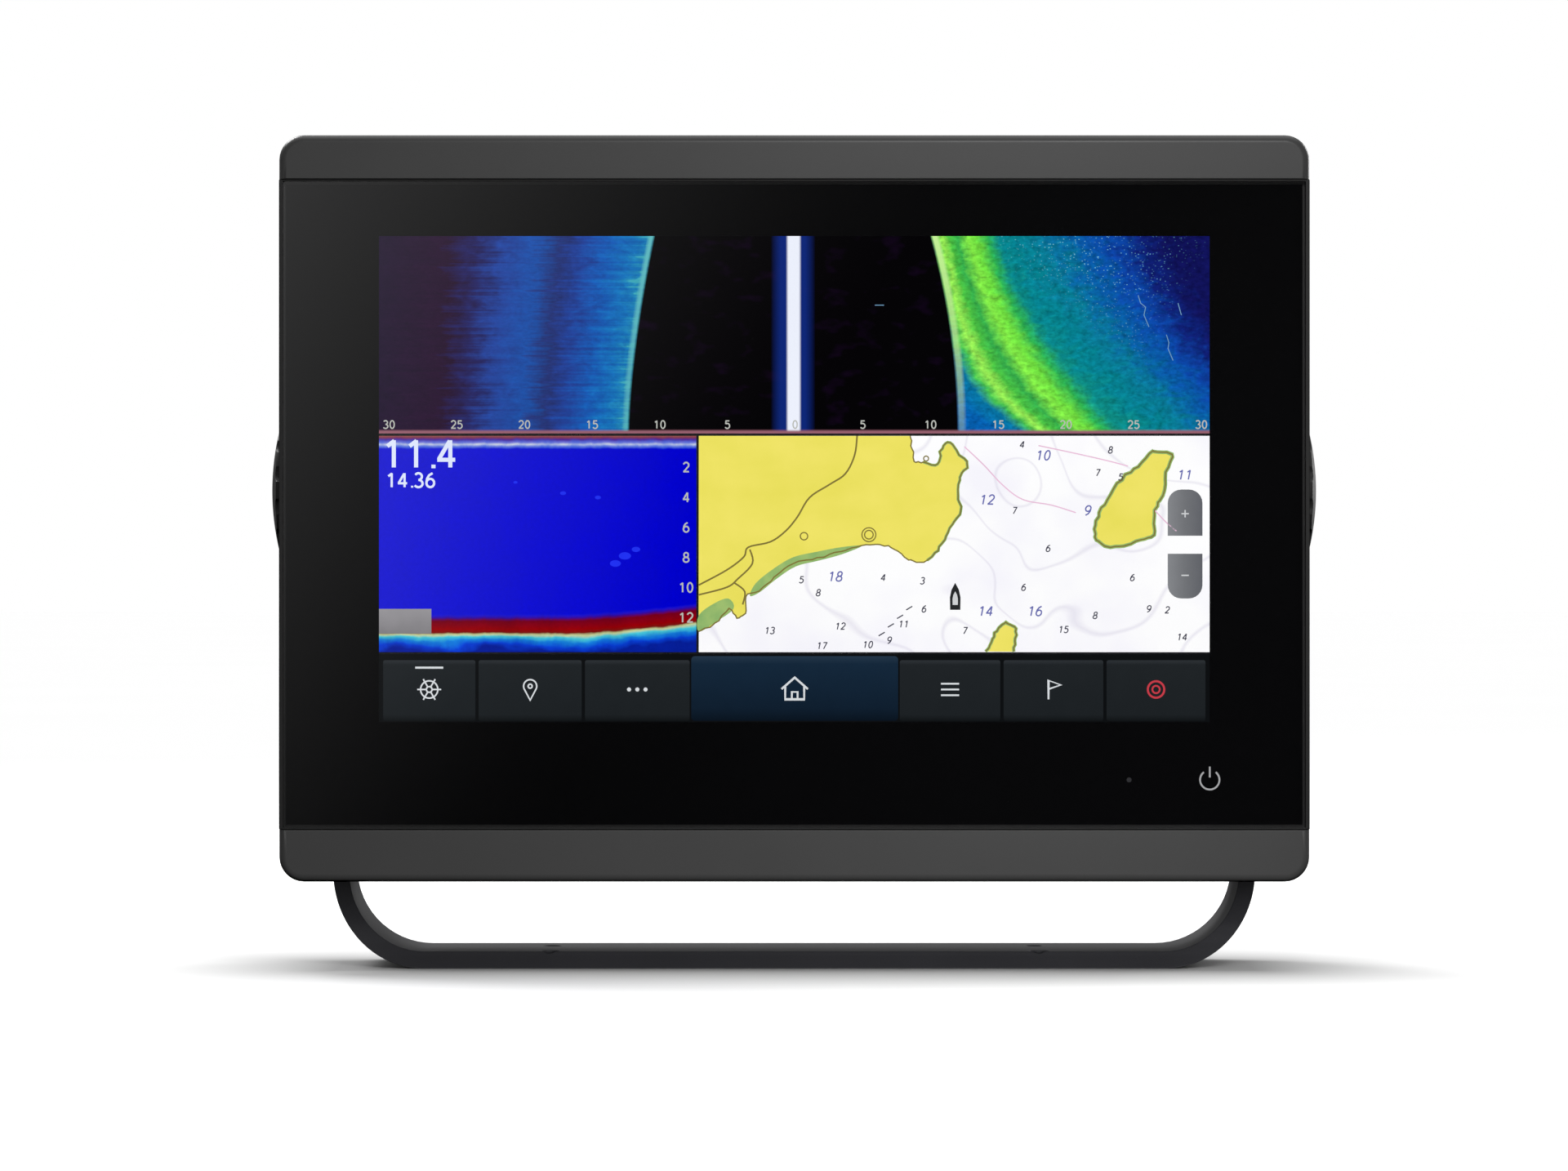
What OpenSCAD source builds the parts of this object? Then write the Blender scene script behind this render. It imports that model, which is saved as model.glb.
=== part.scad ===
// Chartplotter display on a tilting bail bracket.
// X runs to the right of a person facing the screen, Y away from them and Z up.
// The origin is the middle of the bail's screw pattern, on its underside.

/* [Face] */
// Width of the face
face_w = 250; // [248:1:254]
// Height of the face
face_h = 181.2; // [180.4:0.2:183]
// Corner radius of the face
face_r = 6; // [4:0.5:7]
// Height of the top trim strip
top_trim_h = 10.8; // [10.4:0.1:11.4]
// Height of the bottom trim strip
bottom_trim_h = 12.7; // [12.2:0.1:13.2]
// Width of the seam between a trim strip and the glass
seam = 0.5; // [0.3:0.1:0.8]
// Width of the lit screen
screen_w = 201.8; // [198:0.2:203]
// Height of the lit screen
screen_h = 118.1; // [115:0.1:119]
// Height of the screen's lower edge over the lower edge of the face
screen_up = 38.7; // [38:0.1:39.4]
// Thickness of the cover glass
glass_t = 2; // [1.6:0.1:2]
// Distance that the trim strips stand proud of the glass
trim_proud = 0.6; // [0.2:0.1:1]

/* [Housing] */
// Distance from the tilt axis forward to the glass
glass_front = 29; // [28.5:0.1:30]
// Distance from the tilt axis forward to the back of the bezel
bezel_back = 16.5; // [16:0.1:16.8]
// Distance from the tilt axis back to the rear wall
rear_wall = 22.5; // [22:0.1:23]
// Height of the cooling fins over the rear wall
fin_h = 4.5; // [3:0.5:6]
// Distance between cooling fins
fin_pitch = 8; // [6:0.5:12]
// Thickness of the housing's walls
wall = 2.5; // [2:0.1:2.5]
// Spacing of the flush-mount screw holes along the width
flush_x = 236; // [235:1:237]
// Spacing of the flush-mount screw holes along the height
flush_z = 169.4; // [169:0.2:170]
// Radius of the flush-mount screw holes
flush_r = 2.25; // [1.8:0.05:2.5]

/* [Bail] */
// Height of the tilt axis over the mounting surface
pivot_z = 117; // [115:1:120]
// Outside width of the bail
bail_w = 227; // [226.6:0.2:228]
// Thickness of the bail's strap
strap_t = 4; // [3.6:0.1:4]
// Outer radius of the bail's bends
bend_r = 23; // [20:0.5:25]
// How far the bail's foot reaches forward of the middle of its screw pattern
foot_front = 17; // [16:0.5:19]
// How far the bail's foot reaches back of the middle of its screw pattern
foot_back = 23; // [22:0.5:26]
// Spacing of the bail's screw holes along the width
foot_hole_x = 120; // [80:5:150]
// Spacing of the bail's screw holes along the depth
foot_hole_y = 22; // [18:1:23]
// Radius of the bail's screw holes
foot_hole_r = 2.5; // [2:0.1:3]
// Radius of the bail's rounded upper ends
ear_r = 13; // [11:0.5:13.5]

/* [Knobs] */
// Radius of a clamping knob
knob_r = 15.5; // [14:0.5:17]
// Length of a clamping knob along the tilt axis
knob_len = 14.3; // [13:0.1:16]
// Radius of the knob's domed end
dome_r = 63; // [50:1:80]
// Number of finger scallops round a knob
scallops = 12; // [8:1:16]
// Radius of the threaded stud
stud_r = 2.95; // [2.9:0.01:2.97]

/* [Card door] */
// Width of the card door
door_w = 36; // [34:1:36]
// Distance from the middle of the display to the middle of the door
door_x = 76; // [75:1:77]

/* [Hidden] */
$fn = 64;
clear = 0.05;
far = 400;

// Face, measured upwards from the mounting surface
face_z0 = pivot_z - 95.2;
face_z1 = face_z0 + face_h;
glass_z0 = face_z0 + bottom_trim_h + seam;
glass_z1 = face_z1 - top_trim_h - seam;
glass_x = face_w / 2 - 1;
screen_z0 = face_z0 + screen_up;
screen_z1 = screen_z0 + screen_h;

// Planes across the display, from the front back
trim_y0 = -glass_front - trim_proud;
glass_y0 = -glass_front;
glass_y1 = glass_y0 + glass_t;
film_y0 = glass_y1 + clear;
film_y1 = film_y0 + 0.1;
ledge_y = film_y1 + 0.4;
touch_y0 = film_y1 + clear;
touch_y1 = touch_y0 + 0.3;
lcd_y0 = touch_y1 + 0.3;
lcd_y1 = lcd_y0 + 1.9;
guide_y1 = lcd_y1 + 4;
chassis_y0 = guide_y1 + 0.4;
chassis_y1 = chassis_y0 + 1;
bezel_y1 = -bezel_back;
flange_y1 = bezel_y1 + 3;
rear_y = rear_wall;

// Trim strips
trim_plate_y1 = trim_y0 + 2.2;
trim_rim_y1 = bezel_y1 - 3;
trim_rim_t = 1.5;
trim_gap = 0.1;
snap_x = [-100, -50, 50, 100];
snap_in = 5;

// Screen module
lcd_x = screen_w / 2 + 4.1;
lcd_z0 = screen_z0 - 4;
lcd_z1 = screen_z1 + 3.9;
pocket_x = lcd_x + 3.5;
key_pos = [100.9, face_z0 + 24.7];
sensor_pos = [81.3, face_z0 + 24.7];

// Rear housing
house_x = 104.5;
house_z0 = face_z0 + 10.2;
house_z1 = face_z1 - 10;
flange_x = 107.5;
flange_z0 = face_z0 + 2.2;
flange_z1 = face_z1 - 2;
screw_xs = [-80, -27, 27, 80];
screw_zs = [face_z0 + 5.7, face_z1 - 5.5];
flush_mid_z = face_z0 + 90.9;
groove_in = 1.5;
fin_t = 2.2;
fin_z0 = face_z0 + 70.2;
fin_z1 = house_z1 - 3;
fin_x = 92;
boss_r = 14;
boss_x = 108.4;
insert_len = 8;
insert_r = 4.5;
pad_t = 0.9;

// Port recess and ports: [distance from the middle, radius, number of contacts]
recess = [-92, 50, face_z0 + 16.2, face_z0 + 62.2];
recess_y = rear_y - 10.5;
port_z = face_z0 + 39.2;
port_tip_y = recess_y + 8;
ports = [[-72, 8.5, 4], [-38, 11, 8], [-2, 9, 6], [32, 7.5, 5]];
stem_in = 1.5;
core_in = 3.4;
pin_r = 0.45;
cap_t = 1.8;

// Card door and pocket
door_x0 = door_x - door_w / 2;
door_x1 = door_x + door_w / 2;
door_z0 = face_z0 + 19.7;
door_z1 = face_z0 + 60;
door_y0 = rear_y - 1.9;
door_pin = [rear_y + 2.2, face_z0 + 18.7];
door_pin_r = 0.95;
knuckle_r = 2;
pocket = [door_x0 + 4, door_x1 - 4, face_z0 + 24.2, face_z0 + 56.2];
pocket_y = rear_y - 8;
slot_z = face_z0 + 40.2;

// Boards
board_y0 = -2;
board_y1 = -0.4;
board = [-88, 88, face_z0 + 20.2, face_z0 + 156.2];
post_xz = [[-82, face_z0 + 150.2], [0, face_z0 + 150.2], [82, face_z0 + 150.2],
           [-82, face_z0 + 72.2], [82, face_z0 + 72.2],
           [-55, face_z0 + 25.2], [14, face_z0 + 25.2], [86, face_z0 + 28.2]];
post_r = 3.5;
hot = [0, 40, pivot_z - 7, pivot_z + 33];
hot_y = 4.5;
sonar = [-80, -10, face_z0 + 46.2, face_z0 + 110.2];
gps = [-64, -31, house_z1 - 10.5];

// Bail
bail_x1 = bail_w / 2;
bail_x0 = bail_x1 - strap_t;
slot_r = stud_r + 0.35;
washer_x = bail_x1 + 0.1;
washer_t = 0.8;
washer_r = 9;
knob_x = washer_x + washer_t + 0.1;
stud_x0 = boss_x - insert_len + 0.6;
stud_in = 9;

// Flat outlines, drawn with X across and Z up

// A rectangle between two corners, with corners of radius r
module window(x0, x1, z0, z1, r = 0) {
    if (r == 0) {
        translate([x0, z0]) square([x1 - x0, z1 - z0]);
    } else {
        translate([x0 + r, z0]) square([x1 - x0 - 2 * r, z1 - z0]);
        translate([x0, z0 + r]) square([x1 - x0, z1 - z0 - 2 * r]);
        for (x = [x0 + r, x1 - r], z = [z0 + r, z1 - r]) translate([x, z]) circle(r);
    }
}

// The outline of the face, drawn in by a distance
module face(inset = 0) {
    window(-face_w / 2 + inset, face_w / 2 - inset, face_z0 + inset, face_z1 - inset, face_r - inset);
}

// Everything above or below the glass, where the trim strips are
module trim_zone(top, gap = 0) {
    if (top) window(-far, far, glass_z1 + seam - gap, far);
    else window(-far, far, -far, glass_z0 - seam + gap);
}

// Solids

// A flat outline made solid from y0 back to y1
module slab(y0, y1) {
    translate([0, y1, 0]) rotate([90, 0, 0]) linear_extrude(y1 - y0) children();
}

module block(x0, x1, y0, y1, z0, z1) {
    translate([x0, y0, z0]) cube([x1 - x0, y1 - y0, z1 - z0]);
}

module rod_x(y, z, r, x0, x1) {
    translate([x0, y, z]) rotate([0, 90, 0]) cylinder(r = r, h = x1 - x0);
}

module rod_y(x, z, r, y0, y1) {
    translate([x, y1, z]) rotate([90, 0, 0]) cylinder(r = r, h = y1 - y0);
}

// A six-sided prism along Y with two corners up and down
module hex_y(x, z, r, y0, y1) {
    translate([x, y1, z]) rotate([90, 0, 0]) rotate([0, 0, 30]) cylinder(r = r, h = y1 - y0, $fn = 6);
}

module both_sides() {
    children();
    mirror([1, 0, 0]) children();
}

// Bail

// The point where a line from p touches the circle of radius r round c, on the left of p for side 1
function touch_point(p, c, r, side) =
    let (d = p - c, a = atan2(d[1], d[0]) + side * acos(r / norm(d)))
    c + r * [cos(a), sin(a)];

// The strap bent into a U, seen from the front
module bail_front() {
    difference() {
        union() {
            window(-bail_x1 + bend_r, bail_x1 - bend_r, 0, bend_r);
            window(-bail_x1, bail_x1, bend_r, far);
            for (x = [-1, 1]) translate([x * (bail_x1 - bend_r), bend_r]) circle(bend_r, $fn = 96);
        }
        window(-bail_x1 + bend_r, bail_x1 - bend_r, strap_t, bend_r + 1);
        window(-bail_x0, bail_x0, bend_r, far + 1);
        for (x = [-1, 1]) translate([x * (bail_x1 - bend_r), bend_r]) circle(bend_r - strap_t, $fn = 96);
    }
}

// Where the straight edges of the arm start, seen from the side with Y across
arm_front = [-6, 21];
arm_back = [foot_back, 26];

// How far forward the strap reaches at height z, where it flares out to the front of the foot
function flare(z) = arm_front[0] - (foot_front + arm_front[0]) * pow(1 - z / arm_front[1], 2);

// The outline of the arm and of the foot, seen from the side
module bail_side() {
    pivot = [0, pivot_z];
    polygon([
        for (z = [0 : 3 : arm_front[1]]) [flare(z), z],
        touch_point(arm_front, pivot, ear_r, -1), pivot,
        touch_point(arm_back, pivot, ear_r, 1), arm_back, [foot_back, 0]
    ]);
}

module bail() {
    color("#2b2c2e") difference() {
        intersection() {
            slab(-far, far) bail_front();
            union() {
                rotate([90, 0, 90]) translate([0, 0, -far / 2]) linear_extrude(far) bail_side();
                rod_x(0, pivot_z, ear_r, -far / 2, far / 2);
            }
        }
        rod_x(0, pivot_z, slot_r, -far / 2, far / 2);
        block(-far / 2, far / 2, -slot_r, slot_r, pivot_z, pivot_z + 2 * ear_r);
        for (x = [-1, 1], y = [-1, 1])
            translate([x * foot_hole_x / 2, y * foot_hole_y / 2, -1])
                cylinder(r = foot_hole_r, h = strap_t + 2);
    }
}

// Front of the display

module cover_glass() {
    color("#101012") slab(glass_y0, glass_y1) window(-glass_x, glass_x, glass_z0, glass_z1, 0.6);
}

module border_film() {
    color("#050506") difference() {
        slab(film_y0, film_y1) window(-glass_x + 0.6, glass_x - 0.6, glass_z0 + 0.6, glass_z1 - 0.6);
        slab(film_y0 - 1, film_y1 + 1) window(-screen_w / 2, screen_w / 2, screen_z0, screen_z1);
        rod_y(sensor_pos[0], sensor_pos[1], 0.6, film_y0 - 1, film_y1 + 1);
    }
}

module glass_adhesive() {
    color("#2a2a2a") slab(film_y1, ledge_y) difference() {
        window(-glass_x + 0.6, glass_x - 0.6, glass_z0 + 0.5, glass_z1 - 0.5);
        window(-glass_x + 4.5, glass_x - 4.5, glass_z0 + 4, glass_z1 - 4);
    }
}

module touch_sensor() {
    color("#9fb0b8") slab(touch_y0, touch_y1) window(-lcd_x - 2, lcd_x + 2, lcd_z0 - 2, lcd_z1 + 2);
}

module lcd_panel() {
    color("#2346c0") slab(lcd_y0, lcd_y1) window(-lcd_x, lcd_x, lcd_z0, lcd_z1);
}

module light_guide() {
    color("#f2f2ea") slab(lcd_y1, guide_y1) window(-lcd_x + 1, lcd_x - 1, lcd_z0 + 1, lcd_z1 - 1);
}

module led_strip() {
    color("#e8e4b0") {
        block(-100, 100, lcd_y1 + 0.3, guide_y1 - 0.3, lcd_z0 - 1.4, lcd_z0 - 0.4);
        for (x = [-96 : 12 : 96])
            block(x - 2, x + 2, lcd_y1 + 0.6, guide_y1 - 0.6, lcd_z0 - 0.4, lcd_z0 + 0.9);
    }
}

module lcd_chassis() {
    color("#b8babd") difference() {
        slab(lcd_y0, chassis_y1) window(-lcd_x - 1.5, lcd_x + 1.5, lcd_z0 - 3, lcd_z1 + 2);
        slab(lcd_y0 - 1, chassis_y0) window(-lcd_x - 0.5, lcd_x + 0.5, lcd_z0 - 2, lcd_z1 + 1);
    }
}

// The holes for the flush-mount screws that a trim strip hides
module flush_holes() {
    for (x = [-1, 1], z = [-1, 1]) {
        rod_y(x * flush_x / 2, flush_mid_z + z * flush_z / 2, flush_r, trim_y0, bezel_y1 + 1);
        rod_y(x * flush_x / 2, flush_mid_z + z * flush_z / 2, flush_r + 1.9, trim_y0, trim_plate_y1 + 3.5);
    }
}

module bezel() {
    color("#161618") difference() {
        slab(glass_y0, bezel_y1) face();
        // Glass, and the ledge that it is glued to
        slab(glass_y0 - 1, ledge_y)
            window(-glass_x - clear, glass_x + clear, glass_z0 - clear, glass_z1 + clear);
        // Screen module
        slab(glass_y0 - 1, chassis_y1 + 0.1)
            window(-pocket_x, pocket_x, lcd_z0 - 4.5, lcd_z1 + 3.5, 3);
        // Power key board
        slab(glass_y0 - 1, ledge_y + 6) window(62, 114, glass_z0 + 4.5, lcd_z0 - 5.5);
        // Way through for the ribbon to the main board
        slab(chassis_y0, bezel_y1 + 1) window(-80, 80, face_z0 + 58, face_z0 + 138, 4);
        // Seats of the two trim strips
        for (top = [true, false]) {
            slab(glass_y0 - 1, trim_plate_y1 + trim_gap) trim_zone(top, trim_gap);
            slab(glass_y0 - 1, trim_rim_y1 + trim_gap) difference() {
                trim_zone(top, trim_gap);
                face(trim_rim_t + trim_gap);
            }
        }
        for (x = snap_x, z = [face_z0 + snap_in, face_z1 - snap_in])
            block(x - 3.3, x + 3.3, trim_y0, trim_plate_y1 + 6, z - 1, z + 1);
        flush_holes();
        for (x = screw_xs, z = screw_zs) rod_y(x, z, 1.5, bezel_y1 - 8, bezel_y1 + 1);
    }
}

// A trim strip: a front plate, a rim that wraps the edge of the bezel, and snap legs
module trim(top) {
    leg_z = top ? face_z1 - snap_in : face_z0 + snap_in;
    slab(trim_y0, trim_plate_y1) intersection() {
        face();
        trim_zone(top);
    }
    slab(trim_plate_y1, trim_rim_y1) intersection() {
        difference() {
            face();
            face(trim_rim_t);
        }
        trim_zone(top);
    }
    for (x = snap_x) block(x - 3, x + 3, trim_plate_y1 - 1, trim_plate_y1 + 5.5, leg_z - 0.6, leg_z + 0.6);
}

module top_trim() {
    color("#4a4a4b") trim(true);
}

module bottom_trim() {
    color("#4a4a4b") trim(false);
}

module key_board() {
    color("#1d5b3a") {
        slab(ledge_y + 0.2, ledge_y + 1.2) window(64, 112, glass_z0 + 5, lcd_z0 - 6, 1);
        rod_y(key_pos[0], key_pos[1], 4.5, touch_y0, ledge_y + 0.2);
    }
}

module light_sensor() {
    color("#3a3f55") block(sensor_pos[0] - 1, sensor_pos[0] + 1, touch_y0, ledge_y + 0.2,
        sensor_pos[1] - 1, sensor_pos[1] + 1);
}

// Rear of the display

// What stands inside the rear housing: trays behind its recesses, board posts, bosses and ribs
module housing_inside() {
    block(recess[0] - wall, recess[1] + wall, recess_y - wall, rear_y, recess[2] - wall, recess[3] + wall);
    block(pocket[0] - wall, pocket[1] + wall, pocket_y - 2, rear_y, pocket[2] - wall, pocket[3] + wall);
    block(door_x0 - 3, door_x1 + 3, door_y0 - 3, rear_y, door_pin[1] - 3, door_z1 + 3);
    for (p = post_xz) rod_y(p[0], p[1], post_r, board_y1, rear_y);
    both_sides() rod_x(0, pivot_z, 8, boss_x - insert_len - 3, house_x);
    slab(hot_y, rear_y) window(hot[0], hot[1], hot[2], hot[3], 2);
    for (x = [gps[0], gps[1] - 3]) block(x, x + 3, -4, rear_y, gps[2] - 3.5, gps[2]);
}

module fins() {
    for (x = [-fin_x : fin_pitch : fin_x])
        slab(rear_y - 1, rear_y + fin_h) window(x - fin_t / 2, x + fin_t / 2, fin_z0, fin_z1, 1);
}

// The two fixed ears of the card door's hinge
module door_ears() {
    for (x = [door_x0 + 2, door_x1 - 8]) {
        rod_x(door_pin[0], door_pin[1], knuckle_r, x, x + 6);
        block(x, x + 6, rear_y - 1, door_pin[0], door_pin[1] - knuckle_r, door_pin[1]);
    }
}

module rear_housing() {
    color("#232426") difference() {
        union() {
            slab(bezel_y1, flange_y1) window(-flange_x, flange_x, flange_z0, flange_z1, 5);
            slab(bezel_y1, rear_y) window(-house_x, house_x, house_z0, house_z1, 5);
            both_sides() rod_x(0, pivot_z, boss_r, house_x - 1, boss_x);
            fins();
            door_ears();
        }
        difference() {
            slab(bezel_y1 - 1, rear_y - wall)
                window(-house_x + wall, house_x - wall, house_z0 + wall, house_z1 - wall, 3);
            housing_inside();
        }
        // Port recess and the holes in its floor
        slab(recess_y, rear_y + 1) window(recess[0], recess[1], recess[2], recess[3], 3);
        for (p = ports) rod_y(p[0], port_z, p[1] - stem_in + clear, recess_y - wall - 1, recess_y + 1);
        // Seat of the card door, the card pocket and the way through to the sockets
        slab(door_y0 - 0.2, rear_y + 1)
            window(door_x0 - 0.3, door_x1 + 0.3, door_pin[1] - 0.8, door_z1 + 0.5);
        slab(pocket_y, rear_y + 1) window(pocket[0], pocket[1], pocket[2], pocket[3], 2);
        block(door_x - 7.2, door_x + 7.2, pocket_y - 3, pocket_y + 1, slot_z - 3.2, slot_z + 3.2);
        rod_x(door_pin[0], door_pin[1], door_pin_r, door_x0, door_x1);
        // Gasket groove, screw holes, vent and side inserts
        slab(bezel_y1 - 1, bezel_y1 + 1.2) gasket_ring(1);
        for (x = screw_xs, z = screw_zs) rod_y(x, z, 1.6, bezel_y1 - 1, flange_y1 + 1);
        for (p = post_xz) rod_y(p[0], p[1], 1, board_y1 - 1, board_y1 + 8);
        translate([door_x, -4, house_z0 - 1]) cylinder(r = 4, h = wall + 2);
        both_sides() rod_x(0, pivot_z, insert_r, boss_x - insert_len, boss_x + 1);
    }
}

// The gasket's outline, half as wide as the argument on each side of its middle line
module gasket_ring(half) {
    difference() {
        window(-house_x + groove_in - half - 1, house_x - groove_in + half + 1,
            house_z0 - half, house_z1 + half, 4);
        window(-house_x + groove_in + half - 1, house_x - groove_in - half + 1,
            house_z0 + half, house_z1 - half, 4 - half);
    }
}

module housing_gasket() {
    color("#3b3b3b") slab(bezel_y1, bezel_y1 + 1.2) gasket_ring(0.9);
}

module housing_screws() {
    color("#8d9094") for (x = screw_xs, z = screw_zs) difference() {
        union() {
            rod_y(x, z, 1.45, bezel_y1 - 7.5, flange_y1 + 0.5);
            rod_y(x, z, 2.5, flange_y1, flange_y1 + 2.2);
        }
        hex_y(x, z, 1.35, flange_y1 + 1, flange_y1 + 3);
    }
}

module vent_plug() {
    color("#1b1b1b") translate([door_x, -4, 0]) {
        translate([0, 0, house_z0 - 1.5]) cylinder(r = 6, h = 1.5);
        translate([0, 0, house_z0 - 0.5]) cylinder(r = 3.95, h = wall + 2);
    }
}

module pivot_inserts() {
    color("#b08d45") both_sides() difference() {
        rod_x(0, pivot_z, insert_r - 0.02, boss_x - insert_len, boss_x);
        rod_x(0, pivot_z, stud_r + clear, boss_x - insert_len - 1, boss_x + 1);
    }
}

module friction_pads() {
    color("#2e2e2e") both_sides() difference() {
        rod_x(0, pivot_z, boss_r - 0.5, boss_x, boss_x + pad_t);
        rod_x(0, pivot_z, insert_r + 0.3, boss_x - 1, boss_x + pad_t + 1);
    }
}

// Electronics

module main_board() {
    color("#1d5b3a") difference() {
        slab(board_y0, board_y1) window(board[0], board[1], board[2], board[3], 2);
        for (p = post_xz) rod_y(p[0], p[1], 1.3, board_y0 - 1, board_y1 + 1);
        for (p = ports, i = [1 : p[2]]) contact(p, i, pin_r + clear);
    }
}

module board_screws() {
    color("#9a9da1") for (p = post_xz) difference() {
        union() {
            rod_y(p[0], p[1], 0.95, board_y0 - 0.5, board_y1 + 6);
            rod_y(p[0], p[1], 2.3, board_y0 - 1.5, board_y0);
        }
        hex_y(p[0], p[1], 1, board_y0 - 2, board_y0 - 0.7);
    }
}

module processor() {
    color("#25262b") block(11, 29, board_y1, board_y1 + 1.8, hot[2] + 11, hot[2] + 29);
}

module memory_chips() {
    color("#25262b") for (x = [-14, 44], z = [hot[2] + 4, hot[2] + 22])
        block(x, x + 10, board_y1, board_y1 + 1.2, z, z + 14);
}

module shield_can() {
    color("#c4c6c9") difference() {
        block(2, 38, board_y1, hot_y - 1.5, hot[2] + 2, hot[2] + 38);
        block(2.3, 37.7, board_y1 - 1, hot_y - 1.8, hot[2] + 2.3, hot[2] + 37.7);
    }
}

module thermal_pad() {
    color("#7fa7b5") block(4, 36, hot_y - 1.5, hot_y, hot[2] + 4, hot[2] + 36);
}

module power_parts() {
    color("#3c4450") {
        for (x = [-60, -47]) rod_y(x, face_z0 + 84, 5, board_y1, board_y1 + 9);
        block(-80, -68, board_y1, board_y1 + 6, face_z0 + 78, face_z0 + 90);
    }
}

module sonar_board() {
    color("#1d5b3a") slab(board_y0 - 7.6, board_y0 - 6) window(sonar[0], sonar[1], sonar[2], sonar[3], 2);
}

module board_spacers() {
    color("#c9b26a") for (x = [sonar[0] + 4, sonar[1] - 4], z = [sonar[2] + 4, sonar[3] - 4])
        rod_y(x, z, 2.5, board_y0 - 6, board_y0);
}

module sonar_transformers() {
    color("#4a3b2a") for (x = [-68, -40])
        block(x, x + 16, board_y0 - 12.6, board_y0 - 7.6, sonar[2] + 20, sonar[2] + 36);
}

module gps_board() {
    color("#1d5b3a") block(gps[0], gps[1], -10, 18, gps[2], gps[2] + 1.6);
}

module gps_patch() {
    color("#c8b89a") block(gps[0] + 4, gps[0] + 29, -8.5, 16.5, gps[2] + 1.6, gps[2] + 5.6);
}

module beeper() {
    color("#151515") difference() {
        rod_y(60, face_z0 + 128, 6, board_y0 - 7, board_y0);
        rod_y(60, face_z0 + 128, 1, board_y0 - 8, board_y0 - 5);
    }
}

module display_flex() {
    color("#b5772a") {
        block(50, 76, chassis_y1, chassis_y1 + 0.3, face_z0 + 66, face_z0 + 78);
        block(50, 76, chassis_y1 + 0.1, board_y0 - 2.5, face_z0 + 70.2, face_z0 + 70.5);
    }
}

module flex_socket() {
    color("#d9d4c4") difference() {
        block(47, 79, board_y0 - 4, board_y0, face_z0 + 68.2, face_z0 + 72.7);
        block(49.8, 76.2, board_y0 - 5, board_y0 - 2.4, face_z0 + 70.1, face_z0 + 70.6);
    }
}

// Ports: a keyed barrel outside the recess floor and a stem through it that a nut holds

module port(p) {
    difference() {
        union() {
            rod_y(p[0], port_z, p[1] + 1.5, recess_y, recess_y + 1.2);
            rod_y(p[0], port_z, p[1], recess_y, port_tip_y);
            rod_y(p[0], port_z, p[1] - stem_in, 1.2, recess_y + 0.5);
        }
        difference() {
            rod_y(p[0], port_z, p[1] - 1.4, recess_y + 1.7, port_tip_y + 1);
            rod_y(p[0], port_z, p[1] - core_in, recess_y, port_tip_y - 2.5);
        }
        block(p[0] - 1, p[0] + 1, recess_y + 3, port_tip_y + 1, port_z + p[1] - 2, port_z + p[1] - 0.8);
        difference() {
            rod_y(p[0], port_z, p[1] + 0.5, recess_y - 1, recess_y + 0.9);
            rod_y(p[0], port_z, p[1] - 0.9, recess_y - 2, recess_y + 2);
        }
        for (i = [1 : p[2]]) contact(p, i, pin_r + clear);
    }
}

// Contact i of a port, on a circle round its axis
module contact(p, i, r) {
    ring = 0.62 * (p[1] - core_in);
    a = 360 * i / p[2] + 45;
    rod_y(p[0] + ring * cos(a), port_z + ring * sin(a), r, board_y0, port_tip_y - 0.8);
}

module power_port() {
    color("#202022") port(ports[0]);
}

module sonar_port() {
    color("#202022") port(ports[1]);
}

module network_port() {
    color("#202022") port(ports[2]);
}

module backbone_port() {
    color("#202022") port(ports[3]);
}

module port_contacts() {
    color("#d0a84a") for (p = ports, i = [1 : p[2]]) contact(p, i, pin_r);
}

module port_nuts() {
    color("#2c2c2e") for (p = ports) difference() {
        hex_y(p[0], port_z, p[1] + 2.5, recess_y - wall - 3, recess_y - wall);
        rod_y(p[0], port_z, p[1] - stem_in + 0.02, recess_y - wall - 4, recess_y - wall + 1);
    }
}

module port_seals() {
    color("#6b2d22") for (p = ports) translate([p[0], recess_y + 0.45, port_z]) rotate([90, 0, 0])
        rotate_extrude() translate([p[1] - 0.2, 0]) circle(0.44, $fn = 24);
}

// A push-on rubber cap over a port, with a pull tab
module cap(p) {
    difference() {
        union() {
            rod_y(p[0], port_z, p[1] + 0.1 + cap_t, recess_y + 1.6, port_tip_y + 2);
            block(p[0] - 4, p[0] + 4, port_tip_y + 1, port_tip_y + 6, port_z - 1, port_z + 1);
        }
        rod_y(p[0], port_z, p[1] + 0.1, recess_y, port_tip_y + 0.1);
    }
}

module power_cap() {
    color("#1a1a1a") cap(ports[0]);
}

module sonar_cap() {
    color("#1a1a1a") cap(ports[1]);
}

module network_cap() {
    color("#1a1a1a") cap(ports[2]);
}

module backbone_cap() {
    color("#1a1a1a") cap(ports[3]);
}

// Memory card reader

module card_board() {
    color("#1d5b3a") block(door_x - 8, door_x + 8, board_y1, pocket_y - 2.3, slot_z - 0.8, slot_z + 0.8);
}

module card_sockets() {
    color("#b9bbbe") for (z = [slot_z + 0.8, slot_z - 3]) difference() {
        block(door_x - 7, door_x + 7, board_y1, pocket_y, z, z + 2.2);
        block(door_x - 5.7, door_x + 5.7, board_y1 + 1, pocket_y + 1, z + 0.5, z + 1.7);
    }
}

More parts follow.
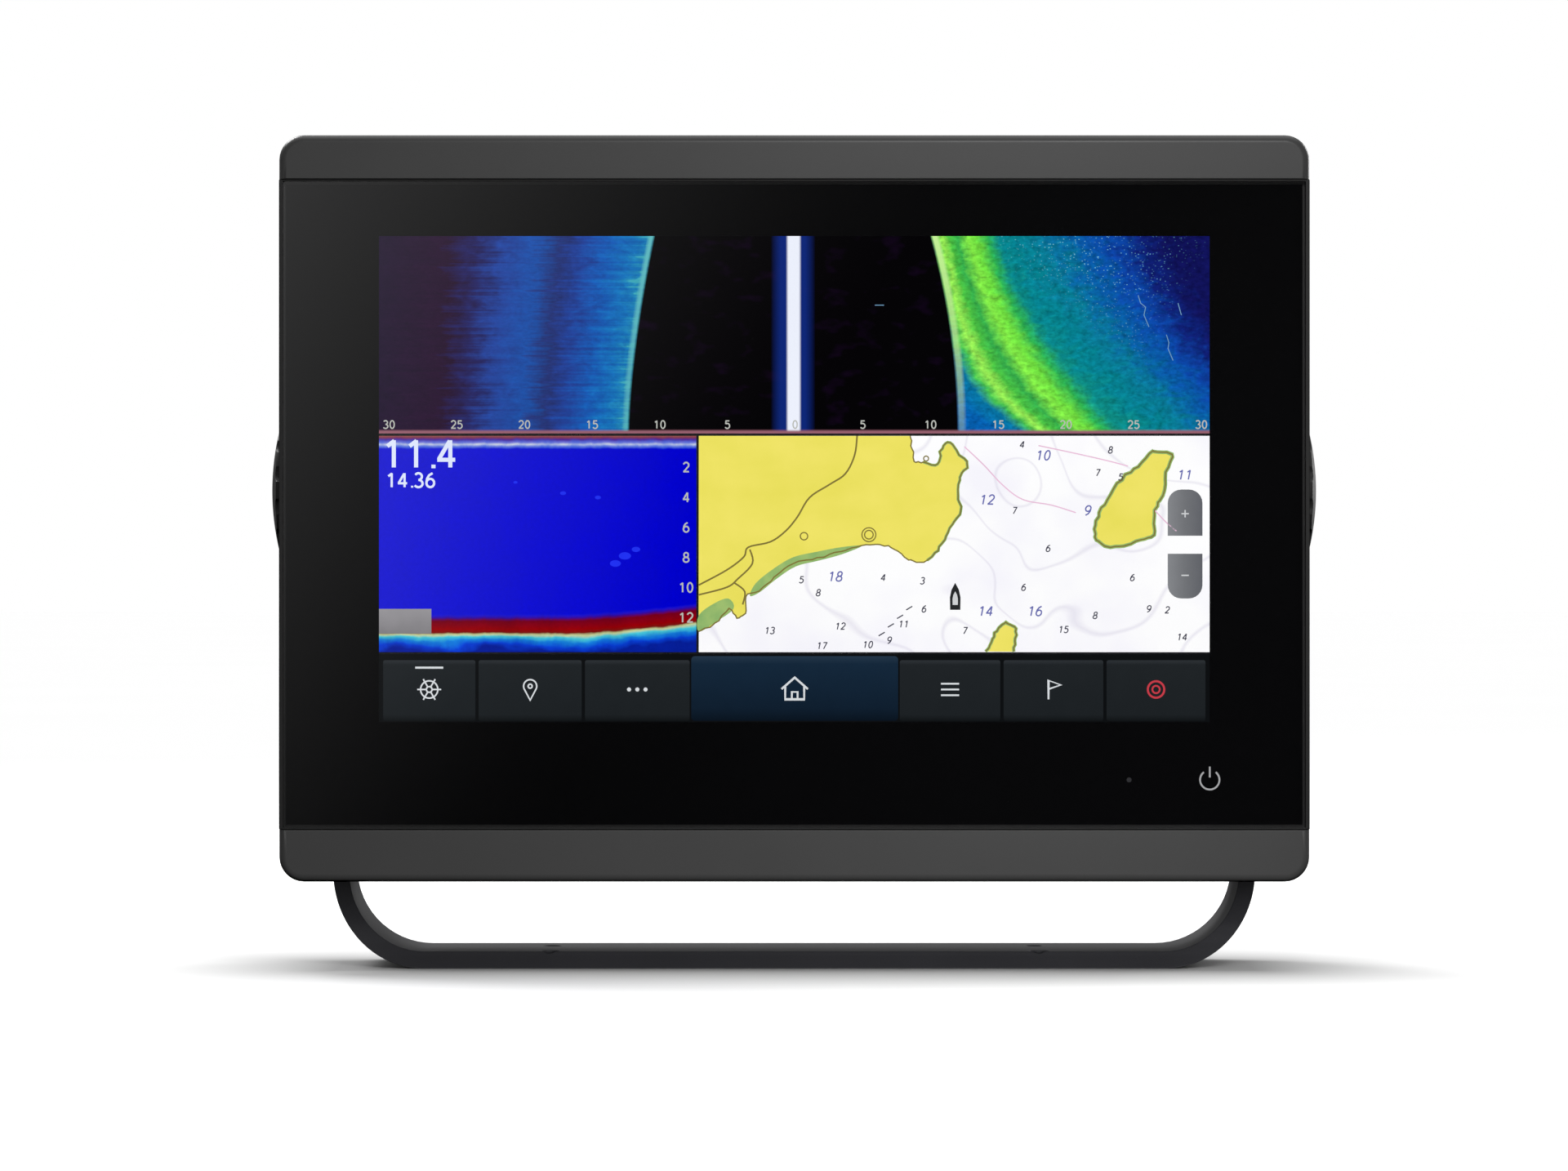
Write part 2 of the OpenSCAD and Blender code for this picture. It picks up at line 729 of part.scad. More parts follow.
module card_door() {
    hinge_x0 = door_x0 + 8.3;
    hinge_x1 = door_x1 - 8.3;
    color("#232426") difference() {
        union() {
            slab(door_y0, rear_y) window(door_x0, door_x1, door_z0, door_z1, 1.5);
            rod_x(door_pin[0], door_pin[1], knuckle_r, hinge_x0, hinge_x1);
            block(hinge_x0, hinge_x1, door_y0 + 0.4, door_pin[0], door_pin[1], door_pin[1] + knuckle_r);
            block(door_x - 6, door_x + 6, rear_y - 0.5, rear_y + 1.8, door_z1 - 2.4, door_z1 - 0.6);
        }
        rod_x(door_pin[0], door_pin[1], door_pin_r + clear, door_x0, door_x1);
    }
}

module door_seal() {
    color("#3b3b3b") slab(door_y0 - 1, door_y0) difference() {
        window(pocket[0] + 0.3, pocket[1] - 0.3, pocket[2] + 0.3, pocket[3] - 0.3, 2);
        window(pocket[0] + 2.3, pocket[1] - 2.3, pocket[2] + 2.3, pocket[3] - 2.3, 1);
    }
}

module door_pin() {
    color("#9a9da1") rod_x(door_pin[0], door_pin[1], door_pin_r, door_x0 + 2, door_x1 - 2);
}

// Clamping knobs, drawn on the right and mirrored for the left

module knob() {
    translate([knob_x, 0, pivot_z]) rotate([0, 90, 0]) difference() {
        intersection() {
            cylinder(r = knob_r, h = knob_len);
            translate([0, 0, knob_len - dome_r]) sphere(dome_r, $fn = 128);
        }
        for (i = [0 : scallops - 1]) rotate([0, 0, 360 * (i + 0.5) / scallops])
            translate([knob_r + 1.6, 0, -1]) cylinder(r = 2.6, h = knob_len + 2);
        difference() {
            translate([0, 0, -1]) cylinder(r = knob_r - 3, h = 7);
            translate([0, 0, -2]) cylinder(r = 6.5, h = 9);
        }
        translate([0, 0, -1]) cylinder(r = stud_r, h = stud_in + 1);
    }
}

module stud() {
    rod_x(0, pivot_z, stud_r, stud_x0, knob_x + stud_in);
}

module washer() {
    difference() {
        rod_x(0, pivot_z, washer_r, washer_x, washer_x + washer_t);
        rod_x(0, pivot_z, stud_r + clear, washer_x - 1, washer_x + washer_t + 1);
    }
}

module right_knob() {
    color("#262627") knob();
}

module right_stud() {
    color("#a7a9ac") stud();
}

module right_washer() {
    color("#a7a9ac") washer();
}

module left_knob() {
    color("#262627") mirror([1, 0, 0]) knob();
}

module left_stud() {
    color("#a7a9ac") mirror([1, 0, 0]) stud();
}

module left_washer() {
    color("#a7a9ac") mirror([1, 0, 0]) washer();
}

bail();
cover_glass();
border_film();
glass_adhesive();
touch_sensor();
lcd_panel();
light_guide();
led_strip();
lcd_chassis();
bezel();
top_trim();
bottom_trim();
key_board();
light_sensor();
rear_housing();
housing_gasket();
housing_screws();
main_board();
board_screws();
processor();
memory_chips();
shield_can();
thermal_pad();
power_parts();
sonar_board();
board_spacers();
sonar_transformers();
gps_board();
gps_patch();
beeper();
display_flex();
flex_socket();
vent_plug();
power_port();
sonar_port();
network_port();
backbone_port();
port_contacts();
port_nuts();
port_seals();
power_cap();
sonar_cap();
network_cap();
backbone_cap();
card_board();
card_sockets();
card_door();
door_seal();
door_pin();
pivot_inserts();
friction_pads();
left_knob();
left_stud();
left_washer();
right_knob();
right_stud();
right_washer();
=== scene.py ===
"""Looks of the chartplotter display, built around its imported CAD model. Lengths are in metres."""
import math
import random

import bmesh
import bpy
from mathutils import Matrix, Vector


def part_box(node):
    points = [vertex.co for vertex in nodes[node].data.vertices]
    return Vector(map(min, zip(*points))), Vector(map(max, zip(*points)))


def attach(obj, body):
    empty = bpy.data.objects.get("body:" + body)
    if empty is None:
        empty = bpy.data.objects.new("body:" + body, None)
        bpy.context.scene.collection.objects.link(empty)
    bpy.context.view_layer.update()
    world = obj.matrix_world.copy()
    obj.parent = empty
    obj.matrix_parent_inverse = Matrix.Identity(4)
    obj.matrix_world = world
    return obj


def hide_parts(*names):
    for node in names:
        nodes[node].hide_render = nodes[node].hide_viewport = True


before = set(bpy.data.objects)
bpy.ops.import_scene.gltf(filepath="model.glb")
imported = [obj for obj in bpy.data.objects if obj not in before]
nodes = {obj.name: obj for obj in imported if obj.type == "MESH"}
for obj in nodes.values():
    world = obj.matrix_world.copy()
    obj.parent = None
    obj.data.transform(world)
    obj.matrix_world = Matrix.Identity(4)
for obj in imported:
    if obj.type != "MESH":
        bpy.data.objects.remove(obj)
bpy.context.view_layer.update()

MM = 0.001

# Places on the face, worked out from the CAD nodes

glass_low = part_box("cover_glass")[0]
film_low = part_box("border_film")[0]
panel_low, panel_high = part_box("lcd_panel")
touch_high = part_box("touch_sensor")[1]
key_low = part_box("key_board")[0]

PICTURE_INSET_X = 4.1 * MM
PICTURE_INSET_LOW = 4.0 * MM
PICTURE_INSET_HIGH = 3.9 * MM
PICTURE_X0 = panel_low.x + PICTURE_INSET_X
PICTURE_Z1 = panel_high.z - PICTURE_INSET_HIGH
PICTURE_W = panel_high.x - PICTURE_INSET_X - PICTURE_X0
PICTURE_H = PICTURE_Z1 - panel_low.z - PICTURE_INSET_LOW

# Layers of the picture, rearmost first, spread over the gap between panel and touch sensor
BASE, SHAPES, DETAILS, LINES, TOP = LAYERS = range(5)
LAYER_STEP = (panel_low.y - touch_high.y) / (len(LAYERS) + 1)

KEY_RISE = 6.5 * MM
KEY_X = panel_high.x - PICTURE_INSET_X
KEY_Z = key_low.z + KEY_RISE
PRINT_GAP = 0.02 * MM
PRINT_Y = film_low.y - PRINT_GAP


# Shader trees

SHOULDER = 0.05
MIX_SHARE, MIX_FIRST, MIX_SECOND, MIX_RESULT = 0, 6, 7, 2
EDGE_SAMPLES = 6


def colour(red, green, blue):
    """A screen colour of 0 to 255 a channel, as linear light by the sRGB curve."""
    def linear(value):
        share = value / 255
        return share / 12.92 if share <= 0.04045 else ((share + 0.055) / 1.055) ** 2.4
    return (linear(red), linear(green), linear(blue), 1.0)


def grey(value, blue=0.0):
    """A grey of linear light, with a little more blue if asked."""
    return (value, value, value + blue, 1.0)


class Field:
    """A value that a shader tree works out. Arithmetic on it adds Math nodes."""

    def __init__(self, tree, socket):
        self.tree, self.socket = tree, socket

    def math(self, operation, *others):
        node = self.tree.node("Math", operation=operation)
        for place, value in enumerate((self,) + others):
            self.tree.plug(value, node.inputs[place])
        return Field(self.tree, node.outputs[0])

    def __add__(self, other):
        return self.math("ADD", other)

    def __sub__(self, other):
        return self.math("SUBTRACT", other)

    def __mul__(self, other):
        return self.math("MULTIPLY", other)

    def __truediv__(self, other):
        return self.math("DIVIDE", other)

    def __pow__(self, other):
        return self.math("POWER", other)

    def flip(self):
        """What is left of 1 after this value."""
        return (self * -1.0) + 1.0

    def sway(self, amount):
        """A noise of 0 to 1, as a swing about 0 that is amount wide."""
        return (self - 0.5) * amount

    def above(self, edge, soft):
        """0 below the edge and 1 above it, smooth over soft either side."""
        rise = (self - edge) / (2 * soft) + 0.5
        return rise.math("SMOOTH_MIN", 1.0, SHOULDER).math("MAXIMUM", 0.0)

    def between(self, low, high, soft):
        return self.above(low, soft) * self.above(high, soft).flip()


class Tree:
    """Adds shader nodes to a material or a world, and joins them. For a piece of the picture,
    lit also gives it the shares across and down."""

    def __init__(self, owner):
        owner.use_nodes = True
        self.nodes, self.links = owner.node_tree.nodes, owner.node_tree.links
        self.nodes.clear()

    def node(self, kind, inputs=None, **settings):
        made = self.nodes.new("ShaderNode" + kind)
        for name, value in settings.items():
            setattr(made, name, value)
        for name, value in (inputs or {}).items():
            self.plug(value, made.inputs[name])
        return made

    def plug(self, value, socket):
        if isinstance(value, Field):
            self.links.new(value.socket, socket)
        elif isinstance(value, bpy.types.NodeSocket):
            self.links.new(value, socket)
        else:
            socket.default_value = value

    def place(self, kind="Object"):
        return self.node("TexCoord").outputs[kind]

    def stretch(self, vector, x, y, z):
        return self.node("Mapping", {"Vector": vector, "Scale": (x, y, z)}).outputs[0]

    def split(self, vector):
        made = self.node("SeparateXYZ", {0: vector})
        return [Field(self, socket) for socket in made.outputs]

    def join(self, x, y, z):
        return self.node("CombineXYZ", {0: x, 1: y, 2: z}).outputs[0]

    def noise(self, vector, scale, detail, twist=0.0):
        made = self.node("TexNoise", {
            "Vector": vector, "Scale": scale, "Detail": detail, "Distortion": twist})
        return Field(self, made.outputs[0])

    def patches(self, wide, high, detail, twist=0.0, row=0.0):
        """Noise over a piece, about wide patches across and high down. row picks a pattern."""
        place = self.join(self.across * wide, row, self.down * high)
        return self.noise(place, 1.0, detail, twist)

    def cells(self, vector, scale, jitter=1.0):
        made = self.node("TexVoronoi", {
            "Vector": vector, "Scale": scale, "Randomness": jitter})
        return Field(self, made.outputs["Distance"])

    def ramp(self, value, stops):
        """A colour for each value. A stop is its position and the three numbers of its colour."""
        made = self.node("ValToRGB", {0: value})
        elements = made.color_ramp.elements
        while len(elements) < len(stops):
            elements.new(0.5)
        for element, (position, *tint) in zip(elements, stops):
            element.position = position
            element.color = colour(*tint)
        return Field(self, made.outputs[0])

    def mix(self, share, first, second):
        made = self.node("Mix", data_type="RGBA")
        for place, value in ((MIX_SHARE, share), (MIX_FIRST, first), (MIX_SECOND, second)):
            self.plug(value, made.inputs[place])
        return Field(self, made.outputs[MIX_RESULT])

    def shade(self, tint, amount):
        """A colour made lighter or darker by a value near 1."""
        value = tint if isinstance(tint, Field) else tint[:3]
        made = self.node("VectorMath", {0: value, "Scale": amount}, operation="SCALE")
        return Field(self, made.outputs[0])

    def relief(self, height, depth, edge=0.0):
        """The normal over a bumpy surface, with sharp edges rounded to the radius edge."""
        bump = {"Height": height, "Strength": 1.0, "Distance": depth}
        if edge:
            rounded = self.node("Bevel", {"Radius": edge}, samples=EDGE_SAMPLES)
            bump["Normal"] = rounded.outputs[0]
        return self.node("Bump", bump).outputs[0]

    def surface(self, inputs):
        shader = self.node("BsdfPrincipled", inputs)
        self.node("OutputMaterial", {"Surface": shader.outputs[0]})


def new_finish(name):
    made = bpy.data.materials.new(name + "_look")
    return made, Tree(made)


# Finishes of the solid parts

DRIFT_PATCH = 24 * MM
DRIFT_GLOSS = 0.14
GRAIN_TONE = 0.3
GRAIN_GLOSS = 0.1
PIT_SPREAD = 0.6
PIT_DEPTH = 0.5


def grained(name, tint, rough, grain, depth, specular=0.5, drift=0.2, fleck=0.0, edge=0.0):
    """Moulded, cast or coated surface: fine grain in relief, with slow drifts of tone and gloss.
    The grain's width, its depth and the radius of edges are in millimetres."""
    made, tree = new_finish(name)
    place = tree.place()
    slow = tree.noise(place, 1 / DRIFT_PATCH, 3)
    fine = tree.noise(place, 1 / (grain * MM), 3)
    pits = tree.cells(place, PIT_SPREAD / (grain * MM))
    tone = slow.sway(drift) + fine.sway(GRAIN_TONE + fleck) + 1.0
    shine = slow.sway(DRIFT_GLOSS) + fine.sway(GRAIN_GLOSS) + rough
    tree.surface({
        "Base Color": tree.shade(tint, tone), "Roughness": shine, "Specular IOR Level": specular,
        "Normal": tree.relief(fine + pits * PIT_DEPTH, depth * MM, edge * MM)})
    return made


MARK_WIDTH = 1.6 * MM
MARK_DEPTH = 0.004 * MM
DULL_PATCH = 7 * MM
ALONG_X, ALONG_Y, EVEN = (1, 14, 14), (14, 1, 14), (14, 14, 14)


def brushed(name, tint, rough, along=ALONG_X):
    """Drawn, turned or rolled metal, with fine marks that run one way and a few dull patches."""
    made, tree = new_finish(name)
    place = tree.place()
    marks = tree.noise(tree.stretch(place, *along), 1 / MARK_WIDTH, 4)
    cloud = tree.noise(place, 1 / DULL_PATCH, 3)
    tree.surface({
        "Base Color": tree.shade(tint, marks.sway(0.35) + cloud.sway(0.25) + 1.0),
        "Metallic": 1.0, "Roughness": marks.sway(0.2) + cloud.sway(0.15) + rough,
        "Normal": tree.relief(marks, MARK_DEPTH)})
    return made


TRACK_PITCH = 1.3 * MM
TRACK_DEPTH = 0.02 * MM
MASK_PATCH = 9 * MM


def circuit(name, mask, copper):
    """Solder-masked board: copper tracks under the mask, bare pads and a slightly wavy gloss."""
    made, tree = new_finish(name)
    place = tree.place()
    upright = tree.node("Mapping", {"Vector": place, "Rotation": (math.pi / 2, 0, 0)})
    tracks = Field(tree, tree.node("TexBrick", {
        "Vector": upright.outputs[0], "Scale": 1 / (TRACK_PITCH * 4), "Mortar Size": 0.045,
        "Color1": grey(1), "Color2": grey(0.82), "Mortar": grey(0)}).outputs[0])
    pads = tree.cells(place, 1 / (TRACK_PITCH * 2.2), jitter=0.55).above(0.24, 0.02).flip()
    cloud = tree.noise(place, 1 / MASK_PATCH, 3)
    body = tree.mix(tracks, tree.shade(copper, 0.5), tree.shade(mask, cloud.sway(0.4) + 1.0))
    tree.surface({
        "Base Color": tree.mix(pads, body, copper), "Metallic": pads * 0.9,
        "Roughness": cloud.sway(0.2) + 0.34, "Normal": tree.relief(tracks + pads, TRACK_DEPTH)})
    return made


FILM_PATCH = 6 * MM
STRIPE_DEPTH = 0.02 * MM


def striped(name, tint, mark, pitch, rough):
    """Flexible or laminated part: narrow conductors that show through a film."""
    made, tree = new_finish(name)
    place = tree.place()
    bands = Field(tree, tree.node("TexWave", {
        "Vector": place, "Scale": 1 / (pitch * 6.3), "Distortion": 0.0},
        bands_direction="X").outputs[1])
    cloud = tree.noise(place, 1 / FILM_PATCH, 3)
    tree.surface({
        "Base Color": tree.mix(bands.above(0.6, 0.2), tint, mark),
        "Roughness": cloud.sway(0.2) + rough, "Normal": tree.relief(bands, STRIPE_DEPTH)})
    return made


DOT_PATCH = 12 * MM
DOT_DEPTH = 0.01 * MM


def dotted(name, tint, mark, pitch, share, rough):
    """A surface with a regular field of small dots, such as a light guide or a lamp board."""
    made, tree = new_finish(name)
    place = tree.place()
    dots = tree.cells(place, 1 / pitch, jitter=0.0).above(share, 0.04).flip()
    cloud = tree.noise(place, 1 / DOT_PATCH, 3)
    body = tree.shade(tint, cloud.sway(0.14) + 1.0)
    tree.surface({
        "Base Color": tree.mix(dots, body, mark), "Roughness": cloud.sway(0.15) + rough,
        "Normal": tree.relief(dots, DOT_DEPTH)})
    return made


CLEAR_PATCH = 60 * MM
CLEAR_DRIFT = 0.02


def clear(name, rough, haze, ior=1.5):
    """Clear glass or film: light passes straight through, and the side that it enters mirrors as
    both faces of the sheet would, most at low angles."""
    made, tree = new_finish(name)
    cloud = tree.noise(tree.place(), 1 / CLEAR_PATCH, 3)
    through = tree.node("BsdfTransparent", {
        "Color": tree.shade(grey(1.0), cloud.sway(CLEAR_DRIFT) + 1.0)})
    mirror = tree.node("BsdfAnisotropic", {
        "Color": grey(1.0), "Roughness": cloud.sway(haze) + rough})
    one_face = Field(tree, tree.node("Fresnel", {"IOR": ior}).outputs[0])
    leaving = Field(tree, tree.node("NewGeometry").outputs["Backfacing"])
    share = (one_face.flip() ** 2.0).flip() * leaving.flip()
    both = tree.node("MixShader", {
        0: share, 1: through.outputs[0], 2: mirror.outputs[0]})
    tree.node("OutputMaterial", {"Surface": both.outputs[0]})
    return made


# One finish for each material slot of the record
FINISH = {
    "bail_coat": grained("bail_coat", grey(0.021, 0.003), 0.5, 0.45, 0.03, edge=0.5),
    "bezel_plastic": grained("bezel", grey(0.012), 0.48, 0.22, 0.012, edge=0.3),
    "trim_satin": grained("trim", grey(0.038), 0.36, 0.12, 0.004, drift=0.08),
    "housing_coat": grained("housing", grey(0.034, 0.003), 0.5, 0.5, 0.035, edge=0.45),
    "rubber_black": grained("rubber", grey(0.024), 0.7, 0.6, 0.02, 0.3, edge=0.4),
    "knob_plastic": grained("knob", grey(0.024), 0.5, 0.3, 0.02, edge=0.5),
    "port_plastic": grained("port", grey(0.026), 0.42, 0.25, 0.014, fleck=0.5),
    "chip_black": grained("chip", grey(0.022, 0.003), 0.6, 0.12, 0.006),
    "border_ink": grained("ink", grey(0.0015, 0.0003), 0.6, 0.4, 0.0001, 0.05),
    "adhesive": grained("adhesive", grey(0.03), 0.85, 0.4, 0.01, 0.3),
    "thermal_gel": grained("gel", (0.35, 0.5, 0.55, 1), 0.62, 0.5, 0.02, fleck=0.3),
    "ferrite": grained("ferrite", (0.09, 0.07, 0.05, 1), 0.7, 0.3, 0.02, fleck=0.6),
    "ceramic": grained("ceramic", (0.62, 0.55, 0.42, 1), 0.55, 0.25, 0.01, fleck=0.2),
    "socket_ivory": grained("socket", (0.72, 0.69, 0.6, 1), 0.42, 0.3, 0.006),
    "seal_red": grained("seal", (0.25, 0.06, 0.04, 1), 0.6, 0.4, 0.01, 0.35),
    "screw_steel": brushed("steel", grey(0.5, 0.02), 0.3),
    "tray_steel": brushed("tray", grey(0.55, 0.02), 0.36),
    "shield_tin": brushed("tin", grey(0.6, 0.02), 0.32),
    "capacitor_can": brushed("can", (0.4, 0.42, 0.45, 1), 0.34, ALONG_Y),
    "spacer_brass": brushed("brass", (0.62, 0.48, 0.2, 1), 0.3, EVEN),
    "contact_gold": brushed("contact", (0.75, 0.55, 0.22, 1), 0.22, ALONG_Y),
    "circuit_board": circuit("board", (0.03, 0.16, 0.07, 1), (0.55, 0.42, 0.2, 1)),
    "flex_film": striped("flex", (0.5, 0.2, 0.05, 1), (0.7, 0.35, 0.12, 1), 0.5 * MM, 0.35),
    "led_board": dotted("lamp", (0.85, 0.85, 0.8, 1), (0.9, 0.75, 0.25, 1), 5 * MM, 0.2, 0.4),
    "diffuser": dotted("guide", (0.85, 0.86, 0.85, 1), grey(1), 1.2 * MM, 0.3, 0.3),
    "lcd": dotted("panel", grey(0.006, 0.002), grey(0.02, 0.01), 0.33 * MM, 0.3, 0.3),
    "cover_glass": clear("glass", 0.03, 0.01),
    "touch_film": clear("touch", 0.08, 0.02, ior=1.03),
}


def add_object(name, data):
    made = bpy.data.objects.new(name, data)
    bpy.context.scene.collection.objects.link(made)
    return made


def to_object(mesh, name, finish):
    """Makes a piece that rides on the display."""
    data = bpy.data.meshes.new(name)
    mesh.to_mesh(data)
    mesh.free()
    data.materials.append(finish)
    made = add_object(name, data)
    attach(made, "display")
    return made


def dress_cad():
    """Gives every CAD node the finish of its material slot."""
    for node in nodes.values():
        for holder in node.material_slots:
            holder.material = FINISH[holder.material.name.split(".")[0]]


# Trim strips, with softly rounded outer edges

TRIM_CORNER = 6.0 * MM
TRIM_ROUND = 1.9 * MM
TRIM_WALL = 1.5 * MM
TRIM_PLATE = 2.2 * MM
TRIM_SEAM_ROUND = 0.35 * MM
TRIM_STEPS = 7
TRIM_CORNER_STEPS = 8
TRIM_SHARP = math.radians(40)


def arc(centre, radius_x, radius_y, start, stop, steps=14):
    """Points along an ellipse, between two angles in degrees."""
    turn = [math.radians(start + (stop - start) * i / steps) for i in range(steps + 1)]
    return [Vector((centre[0] + radius_x * math.cos(a), centre[1] + radius_y * math.sin(a)))
            for a in turn]


def circle(centre, radius, steps):
    return arc(centre, radius, radius, 0, 360, steps)


def trim_outline(low, high, up, inset, seam_inset):
    """A strip's outline, drawn in from its outer edges and from its seam. up is 1 or -1."""
    radius = TRIM_CORNER - inset
    outer = (high.z if up > 0 else low.z) - up * (inset + radius)
    seam = (low.z if up > 0 else high.z) + up * seam_inset
    left, right = low.x + inset, high.x - inset
    return ([Vector((left, seam))]
            + arc((left + radius, outer), radius, radius, 180, 180 - 90 * up, TRIM_CORNER_STEPS)
            + arc((right - radius, outer), radius, radius, 90 * up, 0, TRIM_CORNER_STEPS)
            + [Vector((right, seam))])


def trim_rings(low, high, up):
    """The strip's outlines from the front of its plate, round its edge and back inside its rim."""
    rings = []
    for step in range(TRIM_STEPS + 1):
        turn = math.pi / 2 * step / TRIM_STEPS
        drawn_in = 1 - math.sin(turn)
        outline = trim_outline(low, high, up, TRIM_ROUND * drawn_in, TRIM_SEAM_ROUND * drawn_in)
        rings.append((outline, low.y + TRIM_ROUND * (1 - math.cos(turn))))
    rings.append((trim_outline(low, high, up, 0.0, 0.0), high.y))
    rings.append((trim_outline(low, high, up, TRIM_WALL, 0.0), high.y))
    rings.append((trim_outline(low, high, up, TRIM_WALL, 0.0), low.y + TRIM_PLATE))
    return rings


def build_trim(name, up):
    """Rebuilds a trim strip as a plate with a rim round its outer edge. up is 1 for the top
    strip and -1 for the bottom one."""
    mesh = bmesh.new()
    loops = [[mesh.verts.new((p[0], y, p[1])) for p in outline]
             for outline, y in trim_rings(*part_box(name), up)]
    for before, after in zip(loops, loops[1:]):
        for i, vert in enumerate(before):
            mesh.faces.new((vert, after[i], after[i - 1], before[i - 1]))
    mesh.faces.new(loops[0])
    mesh.faces.new(loops[-1])
    bmesh.ops.recalc_face_normals(mesh, faces=mesh.faces)
    for face in mesh.faces:
        face.smooth = True
    for edge in mesh.edges:
        edge.smooth = edge.calc_face_angle(0.0) < TRIM_SHARP
    made = to_object(mesh, name + "_strip", FINISH["trim_satin"])
    made.modifiers.new("normals", "WEIGHTED_NORMAL").keep_sharp = True
    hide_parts(name)


# Flat picture layers


class Panel:
    """A rectangle of the picture, by its edges as shares of the picture's width and height."""

    def __init__(self, left, top, right, bottom):
        self.x0 = PICTURE_X0 + left * PICTURE_W
        self.z1 = PICTURE_Z1 - top * PICTURE_H
        self.w = (right - left) * PICTURE_W
        self.h = (bottom - top) * PICTURE_H

    def at(self, across, down):
        return Vector((self.x0 + across * self.w, self.z1 - down * self.h))

    def line(self, points):
        return [self.at(*point) for point in points]

    def outline(self):
        return self.line([(0, 0), (1, 0), (1, 1), (0, 1)])


def smooth(points, steps=5, closed=False):
    """A Catmull-Rom curve through the points."""
    points = [Vector(point) for point in points]
    count = len(points)

    def pick(i):
        return points[i % count if closed else min(max(i, 0), count - 1)]

    curve = []
    for i in range(count if closed else count - 1):
        a, b, c, d = pick(i - 1), pick(i), pick(i + 1), pick(i + 2)
        for step in range(steps):
            t = step / steps
            curve.append(0.5 * (2 * b + (c - a) * t + (2 * a - 5 * b + 4 * c - d) * t * t
                                + (3 * b - a - 3 * c + d) * t ** 3))
    return curve if closed else curve + [points[-1]]


def rectangle(low, high):
    """The outline of a rectangle, by two opposite corners."""
    return [low, (high[0], low[1]), high, (low[0], high[1])]


BOX_CORNER_STEPS = 6


def round_box(low, high, radius):
    """The outline of a rectangle whose corners are rounded, by two opposite corners."""
    x0, x1 = sorted((low[0], high[0]))
    z0, z1 = sorted((low[1], high[1]))
    corners = (((x1, z1), 0), ((x0, z1), 90), ((x0, z0), 180), ((x1, z0), 270))
    points = []
    for (x, z), start in corners:
        centre = (x + (radius if x == x0 else -radius), z + (radius if z == z0 else -radius))
        points += arc(centre, radius, radius, start, start + 90, BOX_CORNER_STEPS)
    return points


SAME_POINT = 1e-7
SHARPEST_MITRE = 0.55


class Flat:
    """A flat piece of the picture, gathered from filled outlines and stroked lines."""

    def __init__(self, layer):
        self.y = panel_low.y - (layer + 1) * LAYER_STEP
        self.mesh = bmesh.new()

    def vertex(self, point):
        return self.mesh.verts.new((point[0], self.y, point[1]))

    def fill(self, *outlines):
        for outline in outlines:
            face = self.mesh.faces.new([self.vertex(point) for point in outline])
            face.normal_update()
            bmesh.ops.triangulate(self.mesh, faces=[face])
        return self

    def stroke(self, points, width, closed=False):
        """A line of even width, mitred at its bends."""
        points = [Vector(point) for point in points]
        if closed and (points[0] - points[-1]).length < SAME_POINT:
            points.pop()
        count = len(points)
        sides = []
        for i, point in enumerate(points):
            before = points[(i - 1) % count] if closed or i else point
            after = points[(i + 1) % count] if closed or i < count - 1 else point
            way = (after - before).normalized()
            if 0 < i < count - 1 or closed:
                bend = (point - before).normalized().dot((after - point).normalized())
            else:
                bend = 1.0
            reach = width / 2 / max(math.sqrt(max((1 + bend) / 2, 0)), SHARPEST_MITRE)
            across = Vector((-way.y, way.x)) * reach
            sides.append((self.vertex(point + across), self.vertex(point - across)))
        for i in range(count if closed else count - 1):
            a, b = sides[i], sides[(i + 1) % count]
            self.mesh.faces.new((a[0], b[0], b[1], a[1]))

    def piece(self, name, finish, y=None, slot="lcd"):
        """Ends the piece, facing forwards, in its own layer or at the depth y."""
        for face in self.mesh.faces:
            face.normal_update()
            if face.normal.y > 0:
                face.normal_flip()
        if y is not None:
            for vert in self.mesh.verts:
                vert.co.y = y
        to_object(self.mesh, name, finish)


# Numbers, as pen strokes in a cell 0.6 wide and 1 high

STROKES = {
    "0": [arc((0.3, 0.5), 0.27, 0.5, 0, 360)],
    "1": [[(0.1, 0.78), (0.36, 0.98)], [(0.34, 1.0), (0.34, 0.0)]],
    "2": [arc((0.3, 0.72), 0.27, 0.28, 165, -35) + [Vector((0.04, 0.02))],
          [(0.0, 0.03), (0.6, 0.03)]],
    "3": [arc((0.27, 0.76), 0.25, 0.24, 150, -90), arc((0.27, 0.26), 0.3, 0.26, 90, -150)],
    "4": [[(0.44, 0.0), (0.44, 1.0)], [(0.42, 0.98), (0.02, 0.3)], [(-0.04, 0.28), (0.62, 0.28)]],
    "5": [[(0.54, 0.97), (0.06, 0.97)], [(0.12, 1.0), (0.08, 0.56)],
          arc((0.28, 0.32), 0.3, 0.32, 130, -150)],
    "6": [arc((0.3, 0.3), 0.28, 0.3, 0, 360),
          [(0.02, 0.32), (0.07, 0.62), (0.22, 0.86), (0.46, 1.0)]],
    "7": [[(0.02, 0.97), (0.62, 0.97)], [(0.56, 0.98), (0.22, 0.0)]],
    "8": [arc((0.3, 0.76), 0.23, 0.24, 0, 360), arc((0.3, 0.26), 0.29, 0.26, 0, 360)],
    "9": [arc((0.3, 0.7), 0.28, 0.3, 0, 360),
          [(0.58, 0.68), (0.53, 0.38), (0.38, 0.14), (0.14, 0.0)]],
    ".": [[(0.16, -0.03), (0.16, 0.1)]],
}
POINT_CELL = 0.34
DIGIT_CELL = 0.82
DIGIT_GAP = 0.22


